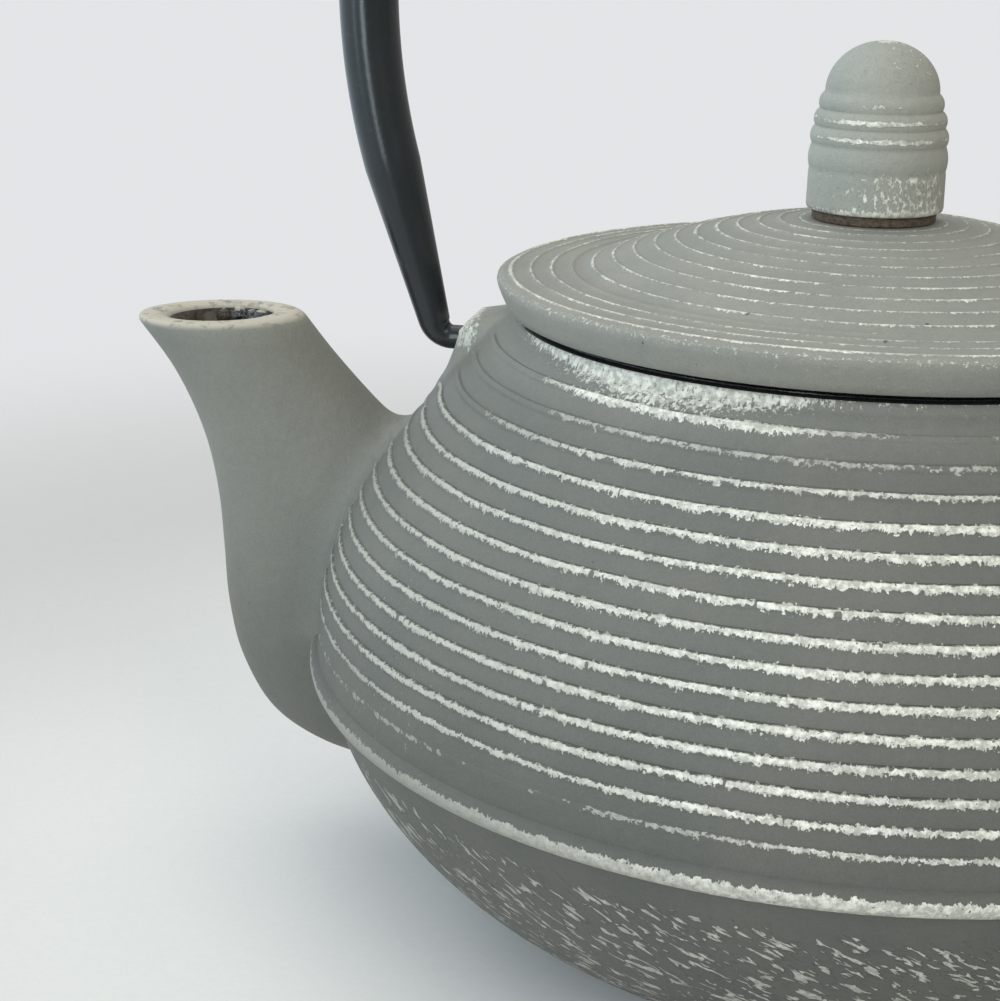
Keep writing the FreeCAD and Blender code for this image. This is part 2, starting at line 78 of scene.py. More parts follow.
SPOUT_REAR = [(-84.4, 85.5), (-79.4, 79.4), (-73.0, 72.7), (-66.5, 66.7), (-62.3, 60.0),
              (-59.0, 52.0), (-57.0, 45.0), (-55.0, 38.0), (-53.0, 33.0), (-50.0, 28.0),
              (-46.0, 23.0)]
SPOUT_FRONT = [(-110.2, 84.7), (-103.9, 76.4), (-99.5, 67.2), (-97.3, 58.0), (-96.5, 49.0),
               (-95.9, 40.2), (-94.0, 31.4), (-89.4, 22.9), (-82.2, 17.7), (-73.2, 14.6),
               (-60.0, 12.2)]
SPOUT_HALF_WIDTH = [10.3, 10.3, 10.3, 10.5, 11.0, 11.4, 11.5, 11.0, 9.6, 7.0, 3.5]
SPOUT_WIDEST = 0.62
MOUTH_WIDEST = 0.5
SPOUT_WALL = 4.7
SPOUT_COLUMNS = 112
SPOUT_ROWS = 112
LIP_ROUNDING = 1.1
SPOUT_SQUARE = 0.17     # how far the front half of the section leaves the ellipse
CHANNEL_LONG = 7.9
CHANNEL_WIDE = 6.4
CHANNEL_COLUMNS = 96
CHANNEL_TURN = (-84.6, 41.5)
CHANNEL_RADIUS = 7.1
GLAZE_DEPTH = 2.2       # how far below the lip the lumps of glaze sit
GLAZE_LUMPS = [(98, 1.3), (78, 1.7), (58, 1.5), (38, 1.8), (18, 1.4)]
GLAZE_LUMP = 0.07       # how far the lumps of glaze in the mouth reach in, as a share
SPOUT_FILLET = 4.0
LUG_FILLET = 3.2

PIVOT_HEIGHT = 83.2
LUG_BORE = 1.88
LUG_BORE_END = 53.4
LUG_HALF_WIDTH = 7.0
LUG_INNER = 45.5
LUG_CORNER = 1.7
LUG_TOP_ROUNDING = 1.5
LUG_STEP = 0.7          # spacing of the points round a lug
LUG_OUTLINE = [(74.0, 62.2), (76.0, 61.5), (79.6, 60.1), (85.4, 58.5), (87.1, 57.8)]
HOOK_RADIUS = 1.8
HOOK_END = 54.0
BEND_START = 60.5
BEND_RADIUS = 3.0
BEND_TUBE = 2.35
LEG_SLOPE = math.radians(74.5)
LEG_LENGTH = 24.0
LEG_TUBE = 4.15
BAIL_TUBE = 4.3
BAIL_COLUMNS = 64
BAIL_HALF_WIDTH = 73.4
BAIL_TOP = 188.0
CROWN_SMALL_RADIUS = 45.0

LID_COLUMNS = 320
LID_UNDERSIDE = 90.4
LID_BOTTOM_RADIUS = 51.05
LID_FLAT_RADIUS = 40.5
LID_CROWN = 104.0
LID_CURVE = 0.00494
LID_RIM_SLOPE = 0.055
LID_THICKNESS = 4.0
LID_RINGS = 14
LID_RING_FIRST = 51.1
LID_RING_PITCH = 2.92
LID_RING_HEIGHT = 0.25
SKIRT_OUTER = 40.9
SKIRT_INNER = 37.9
SKIRT_BOTTOM = 84.4
BOSS_RADIUS = 9.6
COLLAR_RADIUS = 8.7
COLLAR_HEIGHT = 1.5
COLLAR_COLUMNS = 96
SCREW_HOLE = 2.5
KNOB_COLUMNS = 120
KNOB_RADIUS = 9.53
KNOB_TOP = 128.2
KNOB_SIDE_TOP = (9.5, 110.7)
KNOB_RINGS = [(9.6, 112.8), (9.52, 115.4), (9.14, 117.8), (8.58, 119.9)]
KNOB_GROOVES = [(9.25, 114.1), (8.95, 116.6), (8.42, 118.9), (7.85, 121.2)]
DOME_RADIUS = 7.85
DOME_START = 121.2
SCREW_TIP = 117.0

MESH_RADIUS = 42.3
MESH_LOW = 42.0
MESH_HIGH = 88.4
MESH_PITCH = 1.25
WIRE = 0.17
MESH_FLOOR_RADIUS = 41.5

FLOOR_COLUMNS = 96

# ---- the camera, as the photograph was taken ----
CAMERA_PLACE = (0.0, -0.27715, 0.14472)
CAMERA_PITCH = 0.29798
CAMERA_YAW = 0.188865
CAMERA_ROLL = 0.016337
CAMERA_LENS = 69.36
SENSOR = 36.0
BACKDROP = (0.775, 0.780, 0.800, 1)
ROOM_WARM = (0.98, 1.0, 0.97)
ROOM_COOL = (0.86, 1.0, 1.12)
ROOM_DIM = 0.30
ROOM_LEFT = 0.62
ROOM_BACK = 0.12
ROOM_ABOVE = 0.22
# name, place, the point it faces, width, height, power in watts, colour
LAMPS = [
    ("overhead", (-0.4, 0.25, 1.1), (0, 0, 0.05), 1.1, 1.1, 4.8, (1.0, 0.98, 0.93)),
    ("window", (-0.9, -0.75, 0.35), (0, 0, 0.12), 0.25, 0.8, 1.0, (0.76, 0.92, 1.0)),
    ("blind", (-0.33, -1.1, 0.35), (-0.05, 0, 0.14), 0.24, 0.8, 3.8, (0.80, 0.93, 1.0)),
    ("front", (0.65, -0.85, 0.75), (0, 0, 0.09), 0.6, 0.7, 2.9, (1.0, 0.96, 0.86)),
]


# ------------------------------------------------------------------ mesh tools
def make_object(name, points, faces, smooth_angle=40.0):
    """A mesh object from points in millimetres; edges sharper than the angle stay crisp."""
    mesh = bpy.data.meshes.new(name)
    mesh.from_pydata((np.asarray(points) * MM).tolist(), [], faces)
    mesh.update()
    piece = bpy.data.objects.new(name, mesh)
    bpy.context.scene.collection.objects.link(piece)
    face_outward(piece)
    shade(piece, smooth_angle)
    return piece


def face_outward(piece):
    work = bmesh.new()
    work.from_mesh(piece.data)
    bmesh.ops.recalc_face_normals(work, faces=work.faces)
    if work.calc_volume(signed=True) < 0:
        bmesh.ops.reverse_faces(work, faces=work.faces)
    work.to_mesh(piece.data)
    work.free()


def shade(piece, angle):
    piece.data.shade_smooth()
    piece.data.set_sharp_from_angle(angle=math.radians(angle))


def points_of(piece):
    values = np.zeros(len(piece.data.vertices) * 3)
    piece.data.vertices.foreach_get("co", values)
    return values.reshape(-1, 3) / MM


def move_points(piece, points):
    piece.data.vertices.foreach_set("co", (points * MM).ravel())
    piece.data.update()


def add_attribute(piece, name, values):
    layer = piece.data.attributes.new(name, "FLOAT", "POINT")
    layer.data.foreach_set("value", np.asarray(values, np.float32))


def grid_faces(rows, columns, wrap_rows=False):
    """Quads of a grid whose columns close on themselves, and rows too if asked."""
    faces = []
    for row in range(rows if wrap_rows else rows - 1):
        here = row * columns
        above = ((row + 1) % rows) * columns
        for column in range(columns):
            after = (column + 1) % columns
            faces.append((here + column, here + after, above + after, above + column))
    return faces


def capped_grid(rings):
    """Closed solid from rings of equal length, with a fan of triangles over each end."""
    rows, columns = rings.shape[:2]
    points = np.vstack([rings.reshape(-1, 3), rings[0].mean(0), rings[-1].mean(0)])
    faces = grid_faces(rows, columns)
    low, high = rows * columns, rows * columns + 1
    last = (rows - 1) * columns
    for column in range(columns):
        after = (column + 1) % columns
        faces.append((low, after, column))
        faces.append((high, last + column, last + after))
    return points, faces


def even_angles(count):
    """Angles evenly spaced round a full turn, from 0."""
    return np.arange(count) * TURN / count


def turned_rings(radius, height, columns):
    """Rings of points about Z; radius and height may also vary with the column."""
    angle = even_angles(columns)
    radius = np.asarray(radius, float)
    height = np.asarray(height, float)
    if radius.ndim == 1:
        radius = radius[:, None] + np.zeros(columns)
        height = height[:, None] + np.zeros(columns)
    return np.stack([radius * np.cos(angle), radius * np.sin(angle), height], -1)


def turned_solid(name, outline, columns):
    """A solid turned from an outline that starts and ends near the axis."""
    outline = np.array(outline)
    rings = turned_rings(outline[:, 0], outline[:, 1], columns)
    return make_object(name, *capped_grid(rings))


def turned_loop(name, outline, columns):
    """A ring-shaped solid turned from a closed outline that keeps off the axis."""
    outline = np.array(outline)
    rings = turned_rings(outline[:, 0], outline[:, 1], columns)
    return make_object(name, rings.reshape(-1, 3), grid_faces(*rings.shape[:2], wrap_rows=True))


def even_points(points, spacing):
    """The same line with points about evenly spaced along it."""
    points = np.array(points, float)
    steps = np.hypot(*np.diff(points, axis=0).T)
    along = np.concatenate([[0], np.cumsum(steps)])
    wanted = np.linspace(0, along[-1], max(2, int(round(along[-1] / spacing)) + 1))
    return np.stack([np.interp(wanted, along, column) for column in points.T], -1)


def arc_points(a, middle, b, count):
    """Points on the circle through three points, from a to b."""
    (ax, az), (mx, mz), (bx, bz) = a, middle, b
    scale = 2 * (ax * (mz - bz) + mx * (bz - az) + bx * (az - mz))
    a2, m2, b2 = ax * ax + az * az, mx * mx + mz * mz, bx * bx + bz * bz
    cx = (a2 * (mz - bz) + m2 * (bz - az) + b2 * (az - mz)) / scale
    cz = (a2 * (bx - mx) + m2 * (ax - bx) + b2 * (mx - ax)) / scale
    angles = np.unwrap([math.atan2(z - cz, x - cx) for x, z in (a, middle, b)])
    radius = math.hypot(ax - cx, az - cz)
    turns = np.linspace(angles[0], angles[2], count)
    return [(cx + radius * math.cos(t), cz + radius * math.sin(t)) for t in turns]


def smooth_through(values, where):
    """Catmull-Rom curve through evenly numbered values, read at places such as 2.5."""
    values = np.asarray(values, float)
    if values.ndim == 1:
        values = values[:, None]
    before = 2 * values[:1] - values[1:2]
    after = 2 * values[-1:] - values[-2:-1]
    padded = np.vstack([before, values, after])
    start = np.clip(np.floor(where).astype(int), 0, len(values) - 2)
    t = (where - start)[:, None]
    p0, p1, p2, p3 = (padded[start + k] for k in range(4))
    return 0.5 * (2 * p1 + (p2 - p0) * t + (2 * p0 - 5 * p1 + 4 * p2 - p3) * t ** 2
                  + (3 * p1 - p0 - 3 * p2 + p3) * t ** 3)


def combine(piece, other, operation):
    """Boolean of two closed meshes, applied, with the second one thrown away."""
    step = piece.modifiers.new("combine", "BOOLEAN")
    step.operation = operation
    step.object = other
    step.solver = "MANIFOLD"
    graph = bpy.context.evaluated_depsgraph_get()
    result = bpy.data.meshes.new_from_object(piece.evaluated_get(graph))
    piece.modifiers.clear()
    old = piece.data
    piece.data = result
    result.name = old.name
    bpy.data.meshes.remove(old)
    bpy.data.objects.remove(other)


def waves(angle, seed, counts, size):
    """A gentle uneven line round the pot: a few seeded sines added up."""
    random = np.random.default_rng(seed)
    total = np.zeros_like(np.asarray(angle, float))
    for count in counts:
        total = total + random.uniform(0.5, 1) * np.sin(count * angle + random.uniform(0, TURN))
    return size * total / len(counts)


def smoothstep(value, low, high):
    t = np.clip((value - low) / (high - low), 0, 1)
    return t * t * (3 - 2 * t)


# ------------------------------------------------------------------ node tools
class Value:
    """A node's output that takes part in plain arithmetic, each operation a Math node."""

    def __init__(self, net, socket):
        self.net = net
        self.socket = socket

    def __add__(self, other):
        return self.net.math("ADD", self, other)

    def __radd__(self, other):
        return self.net.math("ADD", other, self)

    def __sub__(self, other):
        return self.net.math("SUBTRACT", self, other)

    def __rsub__(self, other):
        return self.net.math("SUBTRACT", other, self)

    def __mul__(self, other):
        return self.net.math("MULTIPLY", self, other)

    __rmul__ = __mul__


class Net:
    """Material nodes written as plain calls, where numbers and sockets mix freely."""

    def __init__(self, name):
        self.material = bpy.data.materials.new(name)
        self.material.use_nodes = True
        self.tree = self.material.node_tree
        self.tree.nodes.clear()

    @classmethod
    def over(cls, tree):
        """The same calls for a node tree that isn't a material's, such as the world's."""
        net = cls.__new__(cls)
        net.tree = tree
        return net

    def put(self, socket, value):
        if isinstance(value, Value):
            self.tree.links.new(value.socket, socket)
        else:
            socket.default_value = value

    def math(self, operation, a, b=0.0, c=0.0, clamp=False):
        node = self.tree.nodes.new("ShaderNodeMath")
        node.operation = operation
        node.use_clamp = clamp
        for socket, value in zip(node.inputs, (a, b, c)):
            self.put(socket, value)
        return Value(self, node.outputs[0])

    def smallest(self, a, b):
        return self.math("MINIMUM", a, b)

    def largest(self, a, b):
        return self.math("MAXIMUM", a, b)

    def step(self, value, low, high, to_low=0.0, to_high=1.0):
        """Smooth change from one number to another while value goes from low to high."""
        node = self.tree.nodes.new("ShaderNodeMapRange")
        node.interpolation_type = "SMOOTHSTEP"
        for socket, number in zip(node.inputs, (value, low, high, to_low, to_high)):
            self.put(socket, number)
        return Value(self, node.outputs[0])

    def place(self):
        """The point on the piece, in millimetres."""
        node = self.tree.nodes.new("ShaderNodeTexCoord")
        return self.scaled(Value(self, node.outputs["Object"]), (1 / MM,) * 3)

    def scaled(self, vector, factors):
        node = self.tree.nodes.new("ShaderNodeVectorMath")
        node.operation = "MULTIPLY"
        self.put(node.inputs[0], vector)
        self.put(node.inputs[1], factors)
        return Value(self, node.outputs[0])

    def parts(self, vector):
        node = self.tree.nodes.new("ShaderNodeSeparateXYZ")
        self.put(node.inputs[0], vector)
        return [Value(self, output) for output in node.outputs]

    def twisted(self, vector, angle):
        """The vector turned about Z by an angle that may itself vary."""
        node = self.tree.nodes.new("ShaderNodeVectorRotate")
        node.rotation_type = "Z_AXIS"
        self.put(node.inputs["Vector"], vector)
        self.put(node.inputs["Angle"], angle)
        return Value(self, node.outputs[0])

    def noise(self, vector, size, detail=2.0, rough=0.5, bend=0.0, shift=None):
        """Noise from 0 to 1 whose features are about size millimetres across."""
        node = self.tree.nodes.new("ShaderNodeTexNoise")
        if shift is not None:
            move = self.tree.nodes.new("ShaderNodeVectorMath")
            move.operation = "ADD"
            self.put(move.inputs[0], vector)
            move.inputs[1].default_value = (shift, -shift, 2 * shift)
            vector = Value(self, move.outputs[0])
        self.put(node.inputs["Vector"], vector)
        node.inputs["Scale"].default_value = 1 / size
        node.inputs["Detail"].default_value = detail
        node.inputs["Roughness"].default_value = rough
        node.inputs["Distortion"].default_value = bend
        return Value(self, node.outputs[0])

    def attribute(self, name):
        node = self.tree.nodes.new("ShaderNodeAttribute")
        node.attribute_name = name
        return Value(self, node.outputs["Fac"])

    def mix(self, share, a, b):
        node = self.tree.nodes.new("ShaderNodeMix")
        node.data_type = "RGBA"
        self.put(node.inputs[0], share)
        for socket, colour in ((node.inputs[6], a), (node.inputs[7], b)):
            self.put(socket, colour if isinstance(colour, Value) else (*colour, 1))
        return Value(self, node.outputs[2])

    def shaded(self, colour, value):
        """A colour made darker or lighter by a number."""
        node = self.tree.nodes.new("ShaderNodeVectorMath")
        node.operation = "SCALE"
        self.put(node.inputs[0], colour)
        self.put(node.inputs["Scale"], value)
        return Value(self, node.outputs[0])

    def surface(self, colour, roughness, metallic=0.0, relief=None, coat=0.0, specular=0.5):
        """Ends the material; relief is a height in millimetres."""
        shader = self.tree.nodes.new("ShaderNodeBsdfPrincipled")
        if isinstance(colour, tuple):
            colour = (*colour, 1)
        self.put(shader.inputs["Base Color"], colour)
        self.put(shader.inputs["Roughness"], roughness)
        self.put(shader.inputs["Metallic"], metallic)
        shader.inputs["Specular IOR Level"].default_value = specular
        if coat:
            shader.inputs["Coat Weight"].default_value = coat
            shader.inputs["Coat Roughness"].default_value = 0.12
        if relief is not None:
            bump = self.tree.nodes.new("ShaderNodeBump")
            bump.inputs["Strength"].default_value = 1.0
            bump.inputs["Distance"].default_value = MM
            self.put(bump.inputs["Height"], relief)
            self.tree.links.new(bump.outputs[0], shader.inputs["Normal"])
        output = self.tree.nodes.new("ShaderNodeOutputMaterial")
        self.tree.links.new(shader.outputs[0], output.inputs["Surface"])
        return self.material


# ------------------------------------------------------------------ materials
GREY = (0.166, 0.163, 0.141)
GREY_DEEP = (0.144, 0.146, 0.129)
SILVER = (0.92, 0.895, 0.79)
SILVER_DULL = (0.50, 0.49, 0.425)
# the bare-iron colour also serves as painted shade in the grooves above the pot's stripes
BARE_IRON_AND_SHADE = (0.035, 0.032, 0.030)
SILVER_THIN = 0.1   # share of full silver where the brush ran dry beside the spout
WORN_LIP = (0.50, 0.455, 0.365)
LIP_STAIN = (0.17, 0.12, 0.075)
LID_TONE = 1.78     # the lid and the knob came out of the paint lighter; the knob's extra lightness over the lid is painted light
KNOB_TONE_AND_PAINTED_LIGHT = 2.35
# painted light: the spout's paint is made lighter, as if more light from the left reached it
SPOUT_PAINTED_LIGHT = 1.38
# painted shade: the paint is made darker down the bowl, which faces away from the light
BOWL_PAINTED_SHADE = 0.69
NECK_TONE = 1.35


def painted_iron(net, place, silver, relief, dark=None, tone=1.0, lip=None):
    """Grey paint over a fine casting skin, with silver dry-brushed where the mask says."""
    fine = net.noise(place, 0.28, detail=3, rough=0.65)
    peel = net.noise(place, 1.3, detail=2, rough=0.6, shift=17.0)
    broad = net.noise(place, 16.0, detail=2)
    value = net.step(fine, 0.3, 0.7, 0.93, 1.07) + (peel - 0.5) * 0.16
    value = value * tone
    grey = net.shaded(net.mix(net.step(broad, 0.3, 0.75), GREY, GREY_DEEP), value)
    patches = net.noise(place, 0.9, detail=3, rough=0.7, shift=31.0)
    x, _, z = net.parts(place)
    thick = net.largest(net.step(x, -66.0, 8.0, SILVER_THIN, 1.0), net.step(z, 83.0, 87.0, 0.0, 0.95))
    bright = net.mix(net.step(patches, 0.36, 0.66) * thick, SILVER_DULL, SILVER)
    colour = net.mix(silver, grey, bright)
    # dark: bare iron where the paint is missing, and on the pot also painted shade in the grooves
    if dark is not None:
        colour = net.mix(dark, colour, BARE_IRON_AND_SHADE)
    if lip is not None:
        stain = net.step(net.noise(place, 1.7, detail=4, rough=0.6, shift=47.0), 0.52, 0.68, 0.0, 0.6)
        colour = net.mix(lip, colour, net.mix(stain, WORN_LIP, LIP_STAIN))
    roughness = net.step(silver, 0.0, 1.0, 0.60, 0.48)
    skin = net.noise(place, 0.34, detail=4, rough=0.7, shift=7.0) * 0.05 + peel * 0.1
    height = skin + (relief + silver * patches * 0.06)
    return net.surface(colour, roughness, silver * 0.2, height, specular=0.4)


def pot_paint():
    """Paint of the casting: stripes on the ridges, a dry-brushed neck, flecks on the bowl."""
    net = Net("pot_paint")
    place = net.place()
    x, _, z = net.parts(place)
    along = net.attribute("along")
    strength = net.attribute("stripe")
    dust = net.attribute("dust")
    # distance from the nearest ridge, worked out from the distance up the shoulder
    offset = along - RIDGE_FIRST
    root = net.math("SQRT", net.largest(offset * (4 * RIDGE_GROWTH) + RIDGE_PITCH ** 2, 0.0))
    number = (root - RIDGE_PITCH) * (0.5 / RIDGE_GROWTH)
    nearest = net.largest(net.math("ROUND", number), 0.0)
    apart = (number - nearest) * (RIDGE_PITCH + RIDGE_GROWTH * RIDGE_COUNT)
    # the brush leaves two ragged edges, lumpy and finely toothed, and now and then a break
    drawn = net.scaled(place, (1.0, 1.0, 0.6))
    teeth = net.noise(drawn, 0.36, detail=3, rough=0.62) - 0.5
    lumps = net.noise(place, 1.15, detail=2, shift=13.0) - 0.5
    other = net.noise(place, 0.8, detail=3, rough=0.6, shift=37.0) - 0.5
    fade = net.noise(place, 6.5, detail=2, shift=57.0) - 0.5
    wide = net.largest(strength, 0.55) - 0.75 + fade * 0.4
    upper = 0.42 + wide * 0.4 - apart + (other * 1.5 + teeth * 0.8)
    lower = 0.44 + wide + apart + (teeth * 1.9 + lumps * 1.5)
    line = net.smallest(net.step(upper, -0.02, 0.04), net.step(lower, -0.02, 0.04))
    breaks = net.noise(net.scaled(place, (1.0, 1.0, 0.25)), 1.6, detail=1, shift=67.0)
    line = line * net.step(breaks, 0.735, 0.715)
    line = line * net.step(strength, 0.0, 0.15)
    gaps = net.noise(place, 1.4, detail=2.5, shift=83.0)
    sparse = net.step(strength, 0.08, 0.62, 0.62, 0.20)
    line = line * net.step(gaps - sparse, 0.0, 0.03)
    bright = net.step(strength, 0.2, 0.88, 0.42, 1.0)
    # the widest band: crisp below, ragged above
    level = z - BAND_HEIGHT
    band_low = level + 1.45 + lumps * 0.15
    band_high = 0.7 - level + (teeth * 1.1 + lumps * 1.5)
    band = net.smallest(net.step(band_low, -0.02, 0.05), net.step(band_high, -0.03, 0.06))
    band = band * net.step(level, -1.4, 0.6, 0.72, 1.0)
    band = band * net.step(x, -68.0, 5.0, 0.45, 0.92)
    band = band * net.step(net.attribute("on_body"), 0.3, 0.8)
    # pits where the paint missed the casting's pores
    pits = net.noise(place, 0.38, detail=2, shift=91.0)
    keeps = net.step(pits, 0.27, 0.33)
    # dry brushing: upright bristle marks, thick where the dust attribute is high
    bristle = net.noise(net.scaled(place, (1.0, 1.0, 0.4)), 0.62, detail=4, rough=0.78, shift=23.0)
    dry = net.step(bristle + dust * 0.29, 0.675, 0.7) * net.step(dust, 0.02, 0.1)
    # cast flecks of the bowl, leaning with the brush's way round
    lean = z * 0.017
    swept = net.scaled(net.twisted(place, lean), (0.72, 0.72, 0.62))
    warp = net.noise(swept, 2.2, detail=1, shift=3.0)
    fleck_noise = net.noise(swept, 0.98, detail=2.2, rough=0.55, bend=0.5, shift=41.0)
    zone = net.step(z, 36.3, 31.0) * net.step(z, 3.0, 9.0)
    zone = zone * net.step(net.attribute("on_body"), 0.5, 1.0)
    fleck_level = fleck_noise + (warp - 0.5) * 0.16 + (zone - 1.0) * 0.4
    flecks = net.step(fleck_level, 0.575, 0.60)
    swell = net.step(fleck_level, 0.47, 0.63)
    silver = net.largest(net.largest(line * bright, band) * keeps,
                         net.largest(dry * 0.9, flecks * 0.55))
    lip = net.attribute("lip") * net.step(net.noise(place, 2.4, detail=4), 0.34, 0.4)
    holes = net.noise(place, 2.6, detail=1, shift=71.0)
    dark = net.step(holes, 0.83, 0.84) * 0.85
    # thin groove just above each stripe: a real dip in the relief, with its shadow painted dark into
    # the colour
    groove = net.step(net.math("ABSOLUTE", apart - 0.55), 0.13, 0.03) * (strength * 0.5)
    relief = swell * 0.16 - groove * 0.12
    # painted shade: the groove's shadow is darkened into the colour
    dark = net.largest(dark, groove * 0.5)
    # painted light: the spout is made lighter than the body's paint
    tone = net.step(net.attribute("on_body"), 0.0, 1.0, SPOUT_PAINTED_LIGHT, 1.0)
    # painted shade: darker down the bowl, which faces away from the light
    tone = tone * net.step(z, 26.0, 66.0, BOWL_PAINTED_SHADE, 1.0)
    tone = tone * net.step(z, 81.0, 88.0, 1.0, NECK_TONE)
    return painted_iron(net, place, silver, relief, dark, tone, lip)


def lid_paint():
    """Paint of the lid: thin silver lines on the rings and a worn edge."""
    net = Net("lid_paint")
    place = net.place()
    radius = net.attribute("out")
    share = net.math("DIVIDE", LID_RING_FIRST - radius, LID_RING_PITCH)
    nearest = net.math("ROUND", share)
    apart = (share - nearest) * LID_RING_PITCH
    lumps = net.noise(place, 1.3, detail=3, rough=0.6) - 0.5
    grain = net.noise(place, 0.35, detail=2, shift=5.0) - 0.5
    fade = net.noise(place, 9.0, detail=2, shift=19.0)
    half = (fade - 0.5) * 0.42 + net.attribute("stripe")
    edge = half - net.math("ABSOLUTE", apart) + (lumps * 0.75 + grain * 0.75)
    line = net.step(edge, -0.02, 0.05)
    dust = net.attribute("dust")
    bristle = net.noise(place, 0.55, detail=4, rough=0.75, shift=23.0)
    dry = net.step(bristle + dust * 0.62, 0.72, 0.8) * net.step(dust, 0.02, 0.2)
    pits = net.step(net.noise(place, 0.4, detail=2, shift=91.0), 0.25, 0.31)
    silver = net.largest(line * pits, dry) * net.step(fade, 0.35, 0.65, 0.62, 0.95)
    holes = net.noise(place, 2.1, detail=1, shift=71.0)
    dark = net.step(holes, 0.79, 0.81) * 0.8
    return painted_iron(net, place, silver, lumps * 0.03, dark, LID_TONE)


def knob_paint():
    """Paint of the knob: bright crests, upright flecks low down, a chipped lower edge."""
    net = Net("knob_paint")
    place = net.place()
    dust = net.attribute("dust")
    stretched = net.scaled(place, (0.45, 0.45, 1.6))
    streak = net.noise(stretched, 0.75, detail=4, rough=0.7, shift=11.0)
    upright = net.noise(net.scaled(place, (1.1, 1.1, 0.5)), 0.6, detail=4, rough=0.72, shift=29.0)
    level = net.attribute("stripe")
    streaks = net.step(streak + level * 0.5, 0.72, 0.79) * net.step(level, 0.02, 0.2)
    dry = net.step(upright + dust * 0.55, 0.72, 0.78) * net.step(dust, 0.02, 0.2)
    bright = net.largest(streaks, dry)
    # the knob's tone is lighter paint plus painted light on its upright sides
    return painted_iron(net, place, bright, bright * 0.04, tone=KNOB_TONE_AND_PAINTED_LIGHT)


def enamel():
    """Black enamel inside the pot and under the lid."""
    net = Net("black_enamel")
    place = net.place()
    ripple = net.noise(place, 3.5, detail=2)
    fine = net.noise(place, 0.6, detail=3, shift=9.0)
    colour = net.mix(ripple, (0.010, 0.010, 0.011), (0.022, 0.021, 0.020))
    # in the spout's mouth the glaze ran together in lumps and left brown iron in front of them
    x, _, z = net.parts(place)
    mouth = net.step(x, -80.0, -86.0) * net.step(z, 68.0, 74.0)
    patchy = x + (net.noise(place, 3.0, detail=3, shift=5.0) - 0.5) * 9.0
    rusty = mouth * net.step(patchy, -95.0, -98.0)
    colour = net.mix(rusty, colour, net.mix(fine, (0.018, 0.010, 0.005), (0.060, 0.037, 0.016)))
    lumps = mouth * (net.noise(place, 1.6, detail=2, rough=0.5, bend=0.4) * 0.8)
    height = ripple * 0.25 + lumps + fine * 0.03
    rough = net.largest(net.step(fine, 0.3, 0.7, 0.12, 0.26), rusty * 0.7)
    return net.surface(colour, rough, 0.0, height, coat=0.4)


def collar_brown():
    """Grainy dark-brown ring between the lid and its knob."""
    net = Net("collar_brown")
    place = net.place()
    grain = net.noise(net.scaled(place, (1, 1, 1.8)), 0.7, detail=4, rough=0.7)
    colour = net.mix(net.step(grain, 0.32, 0.68), (0.045, 0.030, 0.020), (0.16, 0.115, 0.075))
    return net.surface(colour, 0.72, 0.0, grain * 0.22)


def handle_black():
    """Satin black lacquer on the steel bail, faintly blue where it shines."""
    net = Net("handle_black")
    place = net.place()
    cloud = net.noise(net.scaled(place, (1, 1, 0.35)), 6.0, detail=3)
    fine = net.noise(place, 0.5, detail=3, shift=15.0)
    colour = net.mix(cloud, (0.009, 0.012, 0.013), (0.020, 0.024, 0.026))
    rub = net.noise(place, 2.4, detail=4, rough=0.7, shift=33.0)
    colour = net.mix(net.step(rub, 0.60, 0.78, 0.0, 0.30), colour, (0.085, 0.075, 0.062))
    roughness = net.step(cloud, 0.3, 0.7, 0.16, 0.22) + fine * 0.08
    height = cloud * 0.08 + fine * 0.015
    return net.surface(colour, roughness, 0.0, height, specular=0.55)


def steel(name="steel", roughness=0.24, drawn=(1.0, 1.0, 5.0)):
    """Brushed stainless steel with marks along the way it was spun."""
    net = Net(name)
    place = net.place()
    marks = net.noise(net.scaled(place, drawn), 1.6, detail=4, rough=0.7)
    cloud = net.noise(place, 12.0, detail=2, shift=4.0)
    colour = net.mix(cloud, (0.56, 0.56, 0.56), (0.68, 0.68, 0.675))
    rough = net.step(marks, 0.3, 0.7, roughness - 0.06, roughness + 0.08)
    return net.surface(colour, rough, 1.0, marks * 0.01)


def floor_paper():
    """Pale matt table that runs out softly into the bright surroundings."""
    net = Net("pale_floor")
    place = net.place()
    x, y, _ = net.parts(place)
    cloud = net.noise(place, 60.0, detail=3)
    fine = net.noise(place, 0.8, detail=2, shift=3.0)
    away = net.math("SQRT", x * x + y * y)
    # painted light: the table is made lighter close to the pot, against the pot's shade on it, and
    # darker further out; the fine noise is its own grain
    tone = net.step(fine, 0.2, 0.8, 0.985, 1.015) * net.step(away, 60, 230, 1.04, 0.74)
    colour = net.shaded(net.mix(cloud, (0.785, 0.768, 0.750), (0.810, 0.793, 0.775)), tone)
    net.surface(colour, 0.85, 0.0, fine * 0.02, specular=0.2)
    shader = net.tree.nodes["Principled BSDF"]
    net.put(shader.inputs["Alpha"], net.step(away, 430.0, 225.0))
    return net.material


# ------------------------------------------------------------------ the casting's shape
def shoulder(along, inward=0.0):
    """Radius and height at a distance up the shoulder, moved inward square to it."""
    turn = np.minimum(along / SHOULDER_ARC, SHOULDER_SLOPE)
    rest = along - turn * SHOULDER_ARC
    radius = SHOULDER_RADIUS - SHOULDER_ARC * (1 - np.cos(turn)) - rest * np.sin(turn)
    height = BAND_HEIGHT + SHOULDER_ARC * np.sin(turn) + rest * np.cos(turn)
    return radius - inward * np.cos(turn), height - inward * np.sin(turn)


